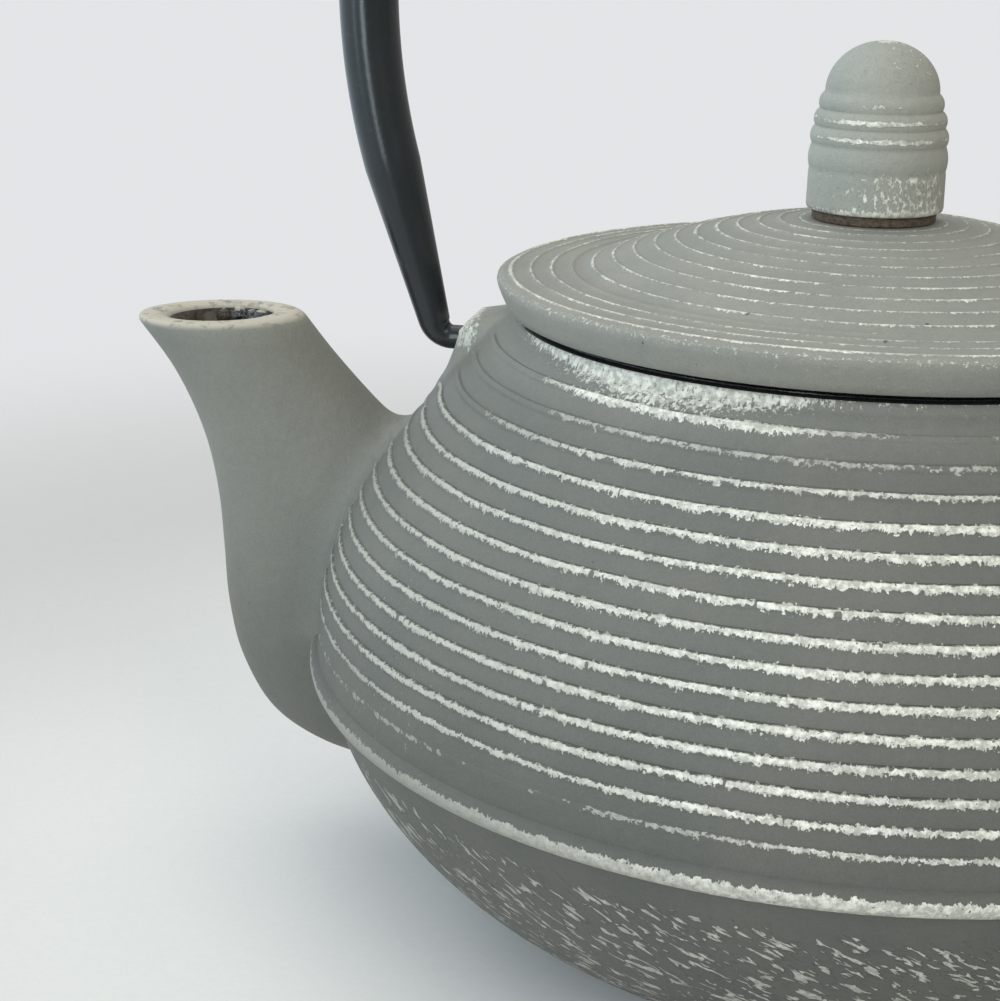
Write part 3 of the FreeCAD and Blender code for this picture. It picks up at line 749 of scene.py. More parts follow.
def along_shoulder(radius, height):
    """The distance up the shoulder of the point nearest to a radius and height."""
    centre = SHOULDER_RADIUS - SHOULDER_ARC
    turn = np.arctan2(height - BAND_HEIGHT, radius - centre)
    top_radius = centre + SHOULDER_ARC * math.cos(SHOULDER_SLOPE)
    top_height = BAND_HEIGHT + SHOULDER_ARC * math.sin(SHOULDER_SLOPE)
    straight = ((top_radius - radius) * math.sin(SHOULDER_SLOPE)
                + (height - top_height) * math.cos(SHOULDER_SLOPE))
    return np.where(turn > SHOULDER_SLOPE, SHOULDER_ARC * SHOULDER_SLOPE + straight,
                    SHOULDER_ARC * turn)


def bowl(height, inward=0.0):
    depth = (BOWL_CENTRE - np.asarray(height, float)) / (BOWL_DEPTH - inward)
    radius = BOWL_RADIUS - inward
    return radius * (1 - np.maximum(depth, 0) ** BOWL_POWER) ** (1 / BOWL_POWER)


def ridge_centre(number):
    return RIDGE_FIRST + RIDGE_PITCH * number + RIDGE_GROWTH * number * number


def ridge_number(along):
    root = np.sqrt(np.maximum(RIDGE_PITCH ** 2 + 4 * RIDGE_GROWTH * (along - RIDGE_FIRST), 0))
    return (root - RIDGE_PITCH) / (2 * RIDGE_GROWTH)


def ridge_wander(angle, along):
    """How far the ridges stray up or down the shoulder, differently for each ridge."""
    number = np.clip(np.round(ridge_number(along)), 0, RIDGE_COUNT - 1).astype(int)
    total = np.zeros(np.broadcast(angle, along).shape)
    for ridge in range(RIDGE_COUNT):
        line = waves(angle, 100 + ridge, (2, 3, 5, 9, 14, 23), 0.17)
        total = np.where(number == ridge, line, total)
    return total


def ridge_relief(apart, angle):
    """Height of a ridge at a distance from its middle: soft below, steep above."""
    low = smoothstep(apart, -0.74, -0.34)
    high = 1 - smoothstep(apart, 0.30, 0.50)
    groove = 0.07 * np.exp(-((apart - 0.55) / 0.10) ** 2)
    uneven = 0.85 + waves(angle, 7, (11, 17, 29, 41), 0.15)
    return RIDGE_WORN_HEIGHT * low * high * uneven - groove


def pot_outside():
    """The casting's outer skin without spout and lugs, ridges included."""
    foot = [(0.6, 0.0), (12, 0.0), (24, 0.0), (35.9, 0.0), (36.1, 0.7), (38.4, 0.7),
            (38.6, 0.0), (46.6, 0.0), (FOOT_RADIUS + 0.35, 0.25), (FOOT_RADIUS + 0.5, 0.8),
            (FOOT_RADIUS + 0.5, 1.9)]
    band_low = BAND_HEIGHT - BAND_HALF
    heights = np.linspace(FOOT_HEIGHT, band_low, 400)
    side = even_points(np.stack([bowl(heights), heights], -1), 0.95)
    start = (float(shoulder(BAND_HALF, RIDGE_HEIGHT)[0]), BAND_HEIGHT + BAND_HALF)
    band = arc_points(tuple(side[-1]), (BAND_RADIUS, BAND_HEIGHT), start, 11)[1:]
    base = np.array(foot + [tuple(p) for p in side] + band)
    columns = POT_COLUMNS
    angle = even_angles(columns)
    radius = [base[:, :1] + np.zeros(columns)]
    height = [base[:, 1:] + np.zeros(columns)]
    for ridge in range(RIDGE_COUNT):
        centre = ridge_centre(ridge)
        straying = ridge_wander(angle, np.full(columns, centre))
        for apart in RIDGE_STEPS:
            along = centre + apart + straying
            relief = ridge_relief(apart, angle + ridge) * min(1, 0.2 + 0.4 * ridge)
            r, z = shoulder(along, RIDGE_BED - relief)
            radius.append(r[None, :])
            height.append(z[None, :])
        if ridge < RIDGE_COUNT - 1:
            gap = (centre + RIDGE_STEPS[-1] + ridge_centre(ridge + 1) + RIDGE_STEPS[0]) / 2
            r, z = shoulder(np.full(columns, gap), RIDGE_BED)
            radius.append(r[None, :])
            height.append(z[None, :])
    neck = [(50.95, 87.75), (50.62, 88.3), (50.5, 88.85), (50.2, 89.28), (49.8, 89.5),
            (49.2, NECK_TOP), (30.0, NECK_TOP), (0.6, NECK_TOP)]
    for r, z in neck:
        radius.append(np.full((1, columns), r))
        height.append(np.full((1, columns), z))
    rings = turned_rings(np.vstack(radius), np.vstack(height), columns)
    return make_object("pot_casting", *capped_grid(rings))


def spout_rings():
    """Egg-shaped rings of the spout from mouth to foot, with the lip rounded over."""
    last = len(SPOUT_REAR) - 1
    lip = LIP_ROUNDING / 8.0
    where = np.concatenate([lip * (1 - np.cos(np.linspace(0, math.pi / 2, 6)[:-1])),
                            np.linspace(lip, last, SPOUT_ROWS)])
    rear = smooth_through(SPOUT_REAR, where)
    front = smooth_through(SPOUT_FRONT, where)
    half = smooth_through(SPOUT_HALF_WIDTH, where)[:, 0]
    share = np.minimum(1, 2 * where / last)
    widest = MOUTH_WIDEST + (SPOUT_WIDEST - MOUTH_WIDEST) * share
    rolled = LIP_ROUNDING * (1 - np.sqrt(np.clip(1 - (1 - where / lip).clip(0) ** 2, 0, 1)))
    length = np.hypot(*(front - rear).T)
    phi = even_angles(SPOUT_COLUMNS)
    square = smoothstep(where, 0.3, 3.5) * SPOUT_SQUARE
    bend = 1 - square[:, None] * (np.cos(phi) > 0)[None, :]
    swing = np.sign(np.cos(phi)) * np.abs(np.cos(phi)) ** bend
    round_side = np.sign(np.sin(phi)) * np.abs(np.sin(phi)) ** bend
    reach = np.where(swing > 0, (1 - widest)[:, None], widest[:, None])
    t = widest[:, None] + reach * swing * (1 - 2 * rolled / length)[:, None]
    across = round_side * (half - rolled)[:, None]
    x = rear[:, :1] + (front - rear)[:, :1] * t
    z = rear[:, 1:] + (front - rear)[:, 1:] * t
    return np.stack([x, across, z], -1)


def lug_block(side):
    """A square-shouldered ear with rounded corners, standing on the neck."""
    rows = [(z, x, 0.0) for z, x in even_points(LUG_OUTLINE[:4], 0.8)]
    top, outer_top = LUG_OUTLINE[-1]
    for turn in np.linspace(0, math.pi / 2, 6)[1:]:
        drop = LUG_TOP_ROUNDING * (1 - math.sin(turn))
        rows.append((top - drop, outer_top + 0.1 * drop, LUG_TOP_ROUNDING * (1 - math.cos(turn))))
    loops = [lug_loop(outer - inset, LUG_HALF_WIDTH - inset) for _, outer, inset in rows]
    count = min(len(line) for line in loops)
    stack = []
    for line, (z, _, _) in zip(loops, rows):
        line = resample_loop(line, count)
        stack.append(np.column_stack([side * line[:, 0], side * line[:, 1], np.full(count, z)]))
    return make_object("lug", *capped_grid(np.stack(stack)))


def lug_loop(outer, half):
    """Level section of a lug: a rectangle with rounded corners."""
    line = []
    corners = ((outer, 1, 1), (LUG_INNER, -1, 1), (LUG_INNER, -1, -1), (outer, 1, -1))
    for start, (x, along, across) in enumerate(corners):
        for turn in (start + np.linspace(0, 1, 9)) * math.pi / 2:
            line.append((x + LUG_CORNER * (math.cos(turn) - along),
                         across * (half - LUG_CORNER) + LUG_CORNER * math.sin(turn)))
    return even_points(line + line[:1], LUG_STEP)[:-1]


def resample_loop(line, count):
    closed = np.vstack([line, line[:1]])
    steps = np.hypot(*np.diff(closed, axis=0).T)
    along = np.concatenate([[0], np.cumsum(steps)])
    wanted = np.arange(count) * along[-1] / count
    return np.stack([np.interp(wanted, along, column) for column in closed.T], -1)


def distance_and_way(tree, points):
    """Signed distance to a closed mesh and the direction in which it grows."""
    distance = np.zeros(len(points))
    way = np.zeros((len(points), 3))
    for i, point in enumerate(points):
        place, normal, _, gap = tree.find_nearest(point)
        apart = Vector(point) - place
        sign = 1.0 if apart.dot(normal) >= 0 else -1.0
        distance[i] = sign * gap
        way[i] = sign * apart / gap if gap > 1e-6 else normal
    return distance, way


def tree_of(piece):
    points = points_of(piece)
    faces = [tuple(p.vertices) for p in piece.data.polygons]
    return BVHTree.FromPolygons(points.tolist(), faces)


def points_near(points, solid, reach):
    """Which points lie in a solid's box, or within reach of it."""
    low, high = solid["box"]
    return np.flatnonzero(np.all((points > low - reach) & (points < high + reach), axis=1))


def fillet(piece, trees, size):
    """Draws the skin near where two of its solids meet onto a smooth blend of the two."""
    points = points_of(piece)
    one, other = trees
    chosen = points_near(points, other, size * 1.2)
    a, _ = distance_and_way(one["tree"], points[chosen])
    b, _ = distance_and_way(other["tree"], points[chosen])
    keep = np.abs(a - b) < size
    chosen = chosen[keep]
    start = points[chosen].copy()
    share = np.clip(1 - np.abs(a - b)[keep] / size, 0, 1)
    moved = start.copy()
    for _ in range(5):
        a, way_a = distance_and_way(one["tree"], moved)
        b, way_b = distance_and_way(other["tree"], moved)
        h = np.clip(1 - np.abs(a - b) / size, 0, 1)
        value = np.minimum(a, b) - h * h * size / 4
        toward = np.where(a < b, 0.5 * h, 1 - 0.5 * h)[:, None]
        slope = way_a * (1 - toward) + way_b * toward
        slope /= np.maximum((slope ** 2).sum(1), 0.25)[:, None]
        moved -= value[:, None] * slope
    weight = smoothstep(share, 0.0, 0.35)[:, None]
    points[chosen] = start + (moved - start) * weight
    move_points(piece, points)
    relax(piece, chosen, 4)


def relax(piece, chosen, rounds):
    """Evens out the chosen points with their neighbours, keeping the rest in place."""
    points = points_of(piece)
    edges = np.zeros(len(piece.data.edges) * 2, np.int64)
    piece.data.edges.foreach_get("vertices", edges)
    edges = edges.reshape(-1, 2)
    count = np.bincount(edges.ravel(), minlength=len(points)).astype(float)
    for _ in range(rounds):
        total = np.zeros_like(points)
        np.add.at(total, edges[:, 0], points[edges[:, 1]])
        np.add.at(total, edges[:, 1], points[edges[:, 0]])
        average = total / np.maximum(count, 1)[:, None]
        points[chosen] = 0.5 * points[chosen] + 0.5 * average[chosen]
    move_points(piece, points)


def pot_cavity():
    """The hollow of the pot, as a solid to cut away."""
    wall = [(float(bowl(z, WALL - 0.6)), z) for z in np.linspace(FLOOR_TOP + 2, BAND_HEIGHT, 14)]
    arc_end = SHOULDER_ARC * SHOULDER_SLOPE
    upper = [tuple(float(v) for v in shoulder(s, WALL)) for s in np.linspace(0, arc_end, 14)[1:]]
    under_neck = tuple(float(v) for v in shoulder(arc_end + 12, WALL))
    outline = ([(0.5, FLOOR_TOP), (wall[0][0] - 4, FLOOR_TOP)] + wall[:-1] + upper
               + [under_neck, (NECK_BORE, 85.6), (NECK_BORE, NECK_TOP - 0.5),
                  (NECK_BORE + 0.4, NECK_TOP), (NECK_BORE + 0.4, NECK_TOP + 3),
                  (0.5, NECK_TOP + 3)])
    return turned_solid("cavity", outline, CAVITY_COLUMNS)


def channel_tool():
    """The hollow of the spout, flared at the mouth."""
    where = np.concatenate([[-0.35, 0.0, 0.04, 0.1], np.linspace(0.18, 2, 27),
                            np.arange(2.5, 5.1, 0.5)])
    flare = np.interp(where, [0.0, 0.04, 0.1, 0.18], [1.1, 0.55, 0.2, 0.0])
    rear = smooth_through(SPOUT_REAR, where)
    front = smooth_through(SPOUT_FRONT, where)
    length = np.hypot(*(front - rear).T)
    way = (rear - front) / length[:, None]
    near = np.where(where < 1, length / 2 - CHANNEL_LONG, SPOUT_WALL)
    near = np.where((where > 0) & (where < 1),
                    (length / 2 - CHANNEL_LONG) * (1 - where) + SPOUT_WALL * where, near)
    middle = front + way * (near + CHANNEL_LONG)[:, None]
    phi = even_angles(CHANNEL_COLUMNS)
    along = (CHANNEL_LONG + flare)[:, None] * np.cos(phi)[None, :]
    across = (CHANNEL_WIDE + flare)[:, None] * np.sin(phi)[None, :]
    # lumps of glaze that ran together on the pot's side of the mouth
    rear_side = np.clip(0.35 + np.cos(phi), 0, 1)[None, :]
    depth = (smoothstep(where, 0.04, 0.3) * (1 - smoothstep(where, 1.3, 2.0)))[:, None]
    down, round_it = where[:, None], phi[None, :]
    lump = 1 + np.sin(7 * round_it + 5 * down) * np.sin(9 * down + 3 * round_it)
    shrink = 1 - GLAZE_LUMP * lump * depth * rear_side
    along *= shrink
    across *= shrink
    x = middle[:, :1] + way[:, :1] * along
    z = middle[:, 1:] + way[:, 1:] * along
    return make_object("channel", *capped_grid(np.stack([x, across, z], -1)))


def glaze_lump(turn, size):
    """A rounded lump of glaze on the channel's wall just inside the mouth."""
    arc = np.linspace(-0.49, 0.49, 13) * math.pi
    lump = turned_solid("lump", [(math.cos(a), math.sin(a)) for a in arc], 28)
    points = points_of(lump)
    points *= (1 + waves(5 * points[:, 2] + 3 * points[:, 0], 40, (1, 2, 3), 0.14))[:, None]
    middle = (np.array(SPOUT_REAR[0]) + np.array(SPOUT_FRONT[0])) / 2
    place = (middle[0] + CHANNEL_LONG * 0.93 * math.cos(turn), CHANNEL_WIDE * 0.93 * math.sin(turn),
             middle[1] - GLAZE_DEPTH)
    move_points(lump, points * (size, size * 0.8, size * 1.1) + place)
    return lump


def rod(name, start, length, radius, columns=40, round_start=True):
    """A solid rod along X, from a rounded start."""
    rings = []
    turns = np.linspace(0.12, math.pi / 2, 8) if round_start else [math.pi / 2]
    spots = [(-radius * math.cos(t), radius * math.sin(t)) for t in turns]
    spots.append((length, radius))
    angle = even_angles(columns)
    for shift, size in spots:
        rings.append(np.column_stack([np.full(columns, start[0] + shift * np.sign(length)),
                                      start[1] + size * np.cos(angle),
                                      start[2] + size * np.sin(angle)]))
    stack = np.stack(rings)
    if length < 0:
        stack[-1, :, 0] = start[0] + length
    return make_object(name, *capped_grid(stack))


def solid_facts(piece):
    points = points_of(piece)
    return {"tree": tree_of(piece), "box": (points.min(0), points.max(0))}


NECK_BRUSH_AZIMUTH = 241    # middle of the neck's brushed patch, in degrees
NECK_BRUSH_SPREAD = 19.0
LUG_REACH_ACROSS = 12       # the lugs' worn corners lie within these of the axis, in millimetres
LUG_REACH_OUT = 63

# where the paint is strong or weak along each ridge: azimuth from, azimuth to, strength
STRIPES = {
    0: [(180, 224, 0.26), (224, 233, 0.32), (233, 247, 0.12), (247, 259, 0.36), (259, 266, 0.47),
        (266, 540, 0.64)],
    1: [(180, 222, 0.45), (222, 250, 0.66), (250, 540, 0.84)],
    12: [(180, 214, 0.0), (214, 232, 0.45), (232, 262, 0.66), (262, 300, 0.6), (300, 540, 0.6)],
    13: [(180, 226, 0.0), (226, 250, 0.42), (250, 300, 0.34), (300, 540, 0.5)],
    14: [(180, 220, 0.0), (220, 228, 0.5), (228, 264, 0.95), (264, 276, 0.4), (276, 310, 0.1),
         (310, 540, 0.4)],
}
PLAIN_STRIPE = [(180, 216, 0.60), (216, 240, 0.70), (240, 262, 0.80), (262, 540, 0.90)]


def stripe_strength(azimuth, number):
    """Paint strength at an azimuth in degrees, eased from one stretch to the next."""
    turned = np.where(azimuth < 180, azimuth + 360, azimuth)
    total = np.zeros(len(azimuth))
    for ridge in range(RIDGE_COUNT):
        here = number == ridge
        value = np.zeros(len(azimuth))
        for start, end, strength in STRIPES.get(ridge, PLAIN_STRIPE):
            value += strength * (smoothstep(turned, start - 4, start + 4)
                                 - smoothstep(turned, end - 4, end + 4))
        total = np.where(here, value, total)
    return total


def paint_pot(piece, spout, lugs):
    """Attributes that tell the paint where ridges, dust and worn edges are."""
    points = points_of(piece)
    radius = np.hypot(points[:, 0], points[:, 1])
    angle = np.arctan2(points[:, 1], points[:, 0])
    azimuth = np.degrees(angle) % 360
    along = along_shoulder(radius, points[:, 2])
    number = np.clip(np.round(ridge_number(along)), 0, RIDGE_COUNT - 1).astype(int)
    upper = points[:, 2] > BAND_HEIGHT + 1
    straying = np.where(upper, ridge_wander(angle, along), 0)
    add_attribute(piece, "along", along - straying)
    outside = np.ones(len(points))
    near = (points[:, 0] < -38) & (np.abs(points[:, 1]) < 30)
    chosen = np.flatnonzero(near)
    gap, _ = distance_and_way(spout["tree"], points[chosen])
    outside[chosen] = smoothstep(gap, 3.0, 7.0)
    thinning = np.ones(len(points))
    thinning[chosen] = smoothstep(gap, 2.5, 6.5) * (0.62 + 0.38 * smoothstep(gap, 5.0, 20.0))
    for lug in lugs:
        chosen = points_near(points, lug, 4)
        gap, _ = distance_and_way(lug["tree"], points[chosen])
        outside[chosen] = np.minimum(outside[chosen], smoothstep(gap, 0.2, 1.6))
    strength = stripe_strength(azimuth, number) * np.minimum(outside, thinning)
    strength *= (along > RIDGE_FIRST - 2) & (along < ridge_centre(RIDGE_COUNT - 1) + 1.2)
    add_attribute(piece, "stripe", strength)
    add_attribute(piece, "on_body", outside)
    # dry brushing on the neck: a thin edge at the left that widens downward towards the front
    reach = 0.12 + 0.88 * np.exp(-((azimuth - NECK_BRUSH_AZIMUTH) / NECK_BRUSH_SPREAD) ** 2)
    lowest = 88.9 - 2.9 * reach
    window = smoothstep(azimuth, 198, 212) * (1 - 0.55 * smoothstep(azimuth, 256, 276))
    dust = smoothstep(points[:, 2], lowest - 1.3, lowest + 1.5) * window * outside
    # worn silver on the lugs' outer top corners
    out = np.abs(points[:, 0])
    corner = (smoothstep(out, 54.4, 57.0) * smoothstep(points[:, 2], 82.0, 84.5)
              * (np.abs(points[:, 1]) < LUG_REACH_ACROSS) * (out < LUG_REACH_OUT))
    dust = np.maximum(dust, 0.95 * corner)
    # flecks where the ridges run out beside the spout
    beside = np.exp(-((outside - 0.55) / 0.3) ** 2) * (points[:, 0] < -50) * (points[:, 2] > 34)
    dust = np.maximum(dust, 0.62 * beside * (points[:, 2] < 62))
    add_attribute(piece, "dust", dust)
    mouth = np.array(SPOUT_REAR[0] + SPOUT_FRONT[0])
    tilt = (mouth[1] - mouth[3]) / (mouth[0] - mouth[2])
    above = points[:, 2] - (mouth[3] + tilt * (points[:, 0] - mouth[2]))
    lip = smoothstep(above, -1.0, -0.2) * (points[:, 0] < -80)
    add_attribute(piece, "lip", lip)


def build_pot(paint, glaze):
    piece = pot_outside()
    body = solid_facts(piece)
    spout_piece = make_object("spout_solid", *capped_grid(spout_rings()))
    spout = solid_facts(spout_piece)
    combine(piece, spout_piece, "UNION")
    lugs = []
    for side in (1, -1):
        block = lug_block(side)
        lugs.append(solid_facts(block))
        combine(piece, block, "UNION")
    fillet(piece, (body, spout), SPOUT_FILLET)
    for lug in lugs:
        fillet(piece, (body, lug), LUG_FILLET)
    skin = tree_of(piece)
    combine(piece, pot_cavity(), "DIFFERENCE")
    combine(piece, channel_tool(), "DIFFERENCE")
    turn = (CHANNEL_TURN[0], 0.0, CHANNEL_TURN[1])
    combine(piece, rod("level", turn, 27.0, CHANNEL_RADIUS), "DIFFERENCE")
    for side in (1, -1):
        start = (side * LUG_BORE_END, 0.0, PIVOT_HEIGHT)
        combine(piece, rod("bore", start, side * 12.0, LUG_BORE, 24, False), "DIFFERENCE")
    for turn, size in GLAZE_LUMPS:
        combine(piece, glaze_lump(math.radians(turn), size), "UNION")
    paint_pot(piece, spout, lugs)
    piece.data.materials.clear()
    piece.data.materials.append(paint)
    piece.data.materials.append(glaze)
    index = []
    for face in piece.data.polygons:
        gap = skin.find_nearest(face.center / MM)[3]
        # painted shade: the neck's top edge gets the black enamel, standing in for the shade in the
        # gap under the lid
        rim_painted_shade = face.center.z > (NECK_TOP - 0.45) * MM
        index.append(1 if gap > 0.75 or rim_painted_shade else 0)
    piece.data.polygons.foreach_set("material_index", index)
    shade(piece, POT_CREASE)
    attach(piece, "pot")
    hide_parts("pot_bowl", "pot_shoulder", "spout", "lug_right", "lug_left")


# ------------------------------------------------------------------ lid and knob
def lid_top(radius):
    radius = np.asarray(radius, float)
    domed = LID_CROWN - LID_CURVE * radius ** 2
    flat = LID_CROWN - LID_CURVE * LID_FLAT_RADIUS ** 2 - LID_RIM_SLOPE * (radius - LID_FLAT_RADIUS)
    return np.where(radius < LID_FLAT_RADIUS, domed, flat)


def lid_skin(radius, angle):
    """Height of the lid's top with its rings, each one straying a little."""
    share = (LID_RING_FIRST - radius) / LID_RING_PITCH
    number = np.clip(np.round(share), 0, LID_RINGS - 1)
    apart = (share - number) * LID_RING_PITCH
    bump = LID_RING_HEIGHT * np.exp(-(apart / 0.33) ** 2)
    return lid_top(radius) + bump * (1 + waves(angle, 3, (7, 13, 19), 0.15))


def ring_wander(ring, angle):
    return waves(angle, 300 + ring, (2, 3, 7, 11, 19), 0.13)


def build_lid(paint, glaze):
    columns = LID_COLUMNS
    angle = even_angles(columns)
    rows = []

    def level(radius, height):
        rows.append((np.full(columns, radius), np.full(columns, height)))

    boss = float(lid_top(BOSS_RADIUS))
    for r, z in ((LID_BOTTOM_RADIUS, LID_UNDERSIDE), (LID_BOTTOM_RADIUS + 0.35, LID_UNDERSIDE + 0.2),
                 (51.9, 91.6), (52.45, 92.8), (52.85, 93.8), (52.98, 94.4), (52.9, 94.8)):
        level(r, z)
    for ring in range(LID_RINGS):
        centre = LID_RING_FIRST - LID_RING_PITCH * ring
        stray = ring_wander(ring, angle)
        steps = (1.1, 0.7, 0.45, 0.22, 0.0, -0.22, -0.45, -0.7, -1.1)
        for apart in steps:
            radius = centre + apart + stray * (abs(apart) < 1)
            height = lid_skin(centre + apart, angle + ring)
            edge = smoothstep(radius, 51.6, 52.7) * 0.15
            rows.append((np.minimum(radius, 52.75), height - edge))
    for r in (11.5, 10.6, BOSS_RADIUS):
        level(r, float(lid_top(r)))
    level(8.0, boss)
    level(SCREW_HOLE, boss)
    under = boss - LID_THICKNESS
    for r, z in ((SCREW_HOLE, under), (8.7, under), (9.3, under - 0.12), (20, under - 1.9),
                 (30, under - 4.0), (SKIRT_INNER - 0.8, under - 5.7), (SKIRT_INNER, under - 6.6),
                 (SKIRT_INNER, SKIRT_BOTTOM + 0.5), (SKIRT_INNER + 0.5, SKIRT_BOTTOM),
                 (SKIRT_OUTER - 0.6, SKIRT_BOTTOM), (SKIRT_OUTER, SKIRT_BOTTOM + 0.6),
                 (SKIRT_OUTER, LID_UNDERSIDE - 0.3), (SKIRT_OUTER + 0.3, LID_UNDERSIDE)):
        level(r, z)
    radius = np.array([r for r, _ in rows])
    height = np.array([z for _, z in rows])
    rings = turned_rings(radius, height, columns)
    piece = make_object("lid_casting", rings.reshape(-1, 3),
                        grid_faces(*rings.shape[:2], wrap_rows=True), 50)
    points = points_of(piece)
    out = np.hypot(points[:, 0], points[:, 1])
    turned = np.arctan2(points[:, 1], points[:, 0])
    azimuth = np.degrees(turned) % 360
    number = np.clip(np.round((LID_RING_FIRST - out) / LID_RING_PITCH), 0, LID_RINGS - 1)
    stray = np.zeros(len(points))
    for ring in range(LID_RINGS):
        stray = np.where(number == ring, ring_wander(ring, turned), stray)
    on_top = points[:, 2] > lid_top(out) - 0.3
    add_attribute(piece, "out", out - stray)
    width = np.select([number == 0, number == 3], [0.26, -0.14], 0.11)
    add_attribute(piece, "stripe", np.where(on_top, width, -2.0))
    edge = smoothstep(out, 51.6, 52.4) * smoothstep(points[:, 2], 93.6, 94.8)
    side = smoothstep(out, 50.9, 51.5) * (points[:, 2] < 94.5)
    front = np.exp(-((azimuth - 270) / 50.0) ** 2)
    add_attribute(piece, "dust", np.maximum(edge * 0.30, side * (0.05 + 0.10 * front)))
    piece.data.materials.append(paint)
    piece.data.materials.append(glaze)
    index = [1 if (face.center.z / MM < LID_UNDERSIDE + 0.05
                   or (face.normal.z < -0.3
                       and math.hypot(face.center.x, face.center.y) / MM < 50.8))
             else 0 for face in piece.data.polygons]
    piece.data.polygons.foreach_set("material_index", index)
    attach(piece, "lid")
    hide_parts("lid")
    return boss


def build_knob(paint, boss):
    base = boss + COLLAR_HEIGHT
    outline = [(SCREW_HOLE, base), (KNOB_RADIUS - 0.5, base), (KNOB_RADIUS - 0.1, base + 0.18),
               (KNOB_RADIUS + 0.02, base + 0.6)]
    low = (KNOB_RADIUS + 0.02, base + 0.6)
    outline += [tuple(p) for p in even_points([low, KNOB_SIDE_TOP], 0.5)[1:-1]]
    here = (KNOB_SIDE_TOP[0] - 0.07, KNOB_SIDE_TOP[1])
    for crest, groove in zip(KNOB_RINGS, KNOB_GROOVES):
        outline += arc_points(here, crest, groove, 11)[:-1]
        here = groove
    rise = KNOB_TOP - DOME_START
    outline += [(DOME_RADIUS * math.cos(t), DOME_START + rise * math.sin(t))
                for t in np.linspace(0, math.pi / 2, 22)[:-1]]
    outline.append((0.25, KNOB_TOP - 0.004))
    data = np.array(outline)
    outer = turned_rings(data[:, 0], data[:, 1], KNOB_COLUMNS)
    inner = turned_rings([0.25, SCREW_HOLE], [SCREW_TIP + 1, SCREW_TIP + 0.2], KNOB_COLUMNS)
    rings = np.concatenate([inner, outer])
    piece = make_object("lid_knob_casting", *capped_grid(rings), 50)
    points = points_of(piece)
    z = points[:, 2]
    azimuth = np.degrees(np.arctan2(points[:, 1], points[:, 0])) % 360
    front = np.exp(-((azimuth - 274) / 46.0) ** 2)
    stripe = smoothstep(z, 121.5, 123.5) * smoothstep(azimuth, 250, 290) * 0.30
    stripe = np.maximum(stripe, np.exp(-((z - 110.2) / 0.25) ** 2) * front * 0.42)
    for (_, crest), strength in zip(KNOB_RINGS, (0.30, 0.95, 0.95, 0.42)):
        line = np.exp(-((z - crest + 0.12) / 0.42) ** 2) * strength * (0.45 + 0.55 * front)
        stripe = np.maximum(stripe, line)
    add_attribute(piece, "stripe", stripe)
    right = smoothstep(azimuth, 215, 285) * (1 - smoothstep(azimuth, 330, 350))
    low = np.exp(-((z - base - 0.3) / 0.8) ** 2) * (0.42 + 0.44 * right)
    side = smoothstep(z, 114.0, 109.5) * (0.18 + 0.27 * right)
    dome = smoothstep(z, 121.0, 125.0) * 0.17
    dust = np.maximum.reduce([low, side, dome, np.full(len(z), 0.05)])
    dust = np.maximum(dust, smoothstep(z, 127.6, 128.1) * 0.6)
    add_attribute(piece, "dust", dust)
    piece.data.materials.append(paint)
    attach(piece, "lid")
    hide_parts("lid_knob")


def build_collar(material, boss):
    top = boss + COLLAR_HEIGHT
    outline = [(SCREW_HOLE, boss), (COLLAR_RADIUS - 0.3, boss), (COLLAR_RADIUS - 0.05, boss + 0.25),
               (COLLAR_RADIUS, boss + 1.0), (COLLAR_RADIUS - 0.1, top - 0.3),
               (COLLAR_RADIUS - 0.25, top), (SCREW_HOLE, top)]
    piece = turned_loop("knob_collar_ring", outline, COLLAR_COLUMNS)
    points = points_of(piece)
    turned = np.arctan2(points[:, 1], points[:, 0])
    rim = np.hypot(points[:, 0], points[:, 1]) > COLLAR_RADIUS - 0.6
    pinch = waves(turned + points[:, 2], 12, (5, 9, 17), 0.12) * rim
    points[:, 0] -= np.abs(pinch) * np.cos(turned)
    points[:, 1] -= np.abs(pinch) * np.sin(turned)
    move_points(piece, points)
    piece.data.materials.append(material)
    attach(piece, "lid")
    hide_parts("knob_collar")


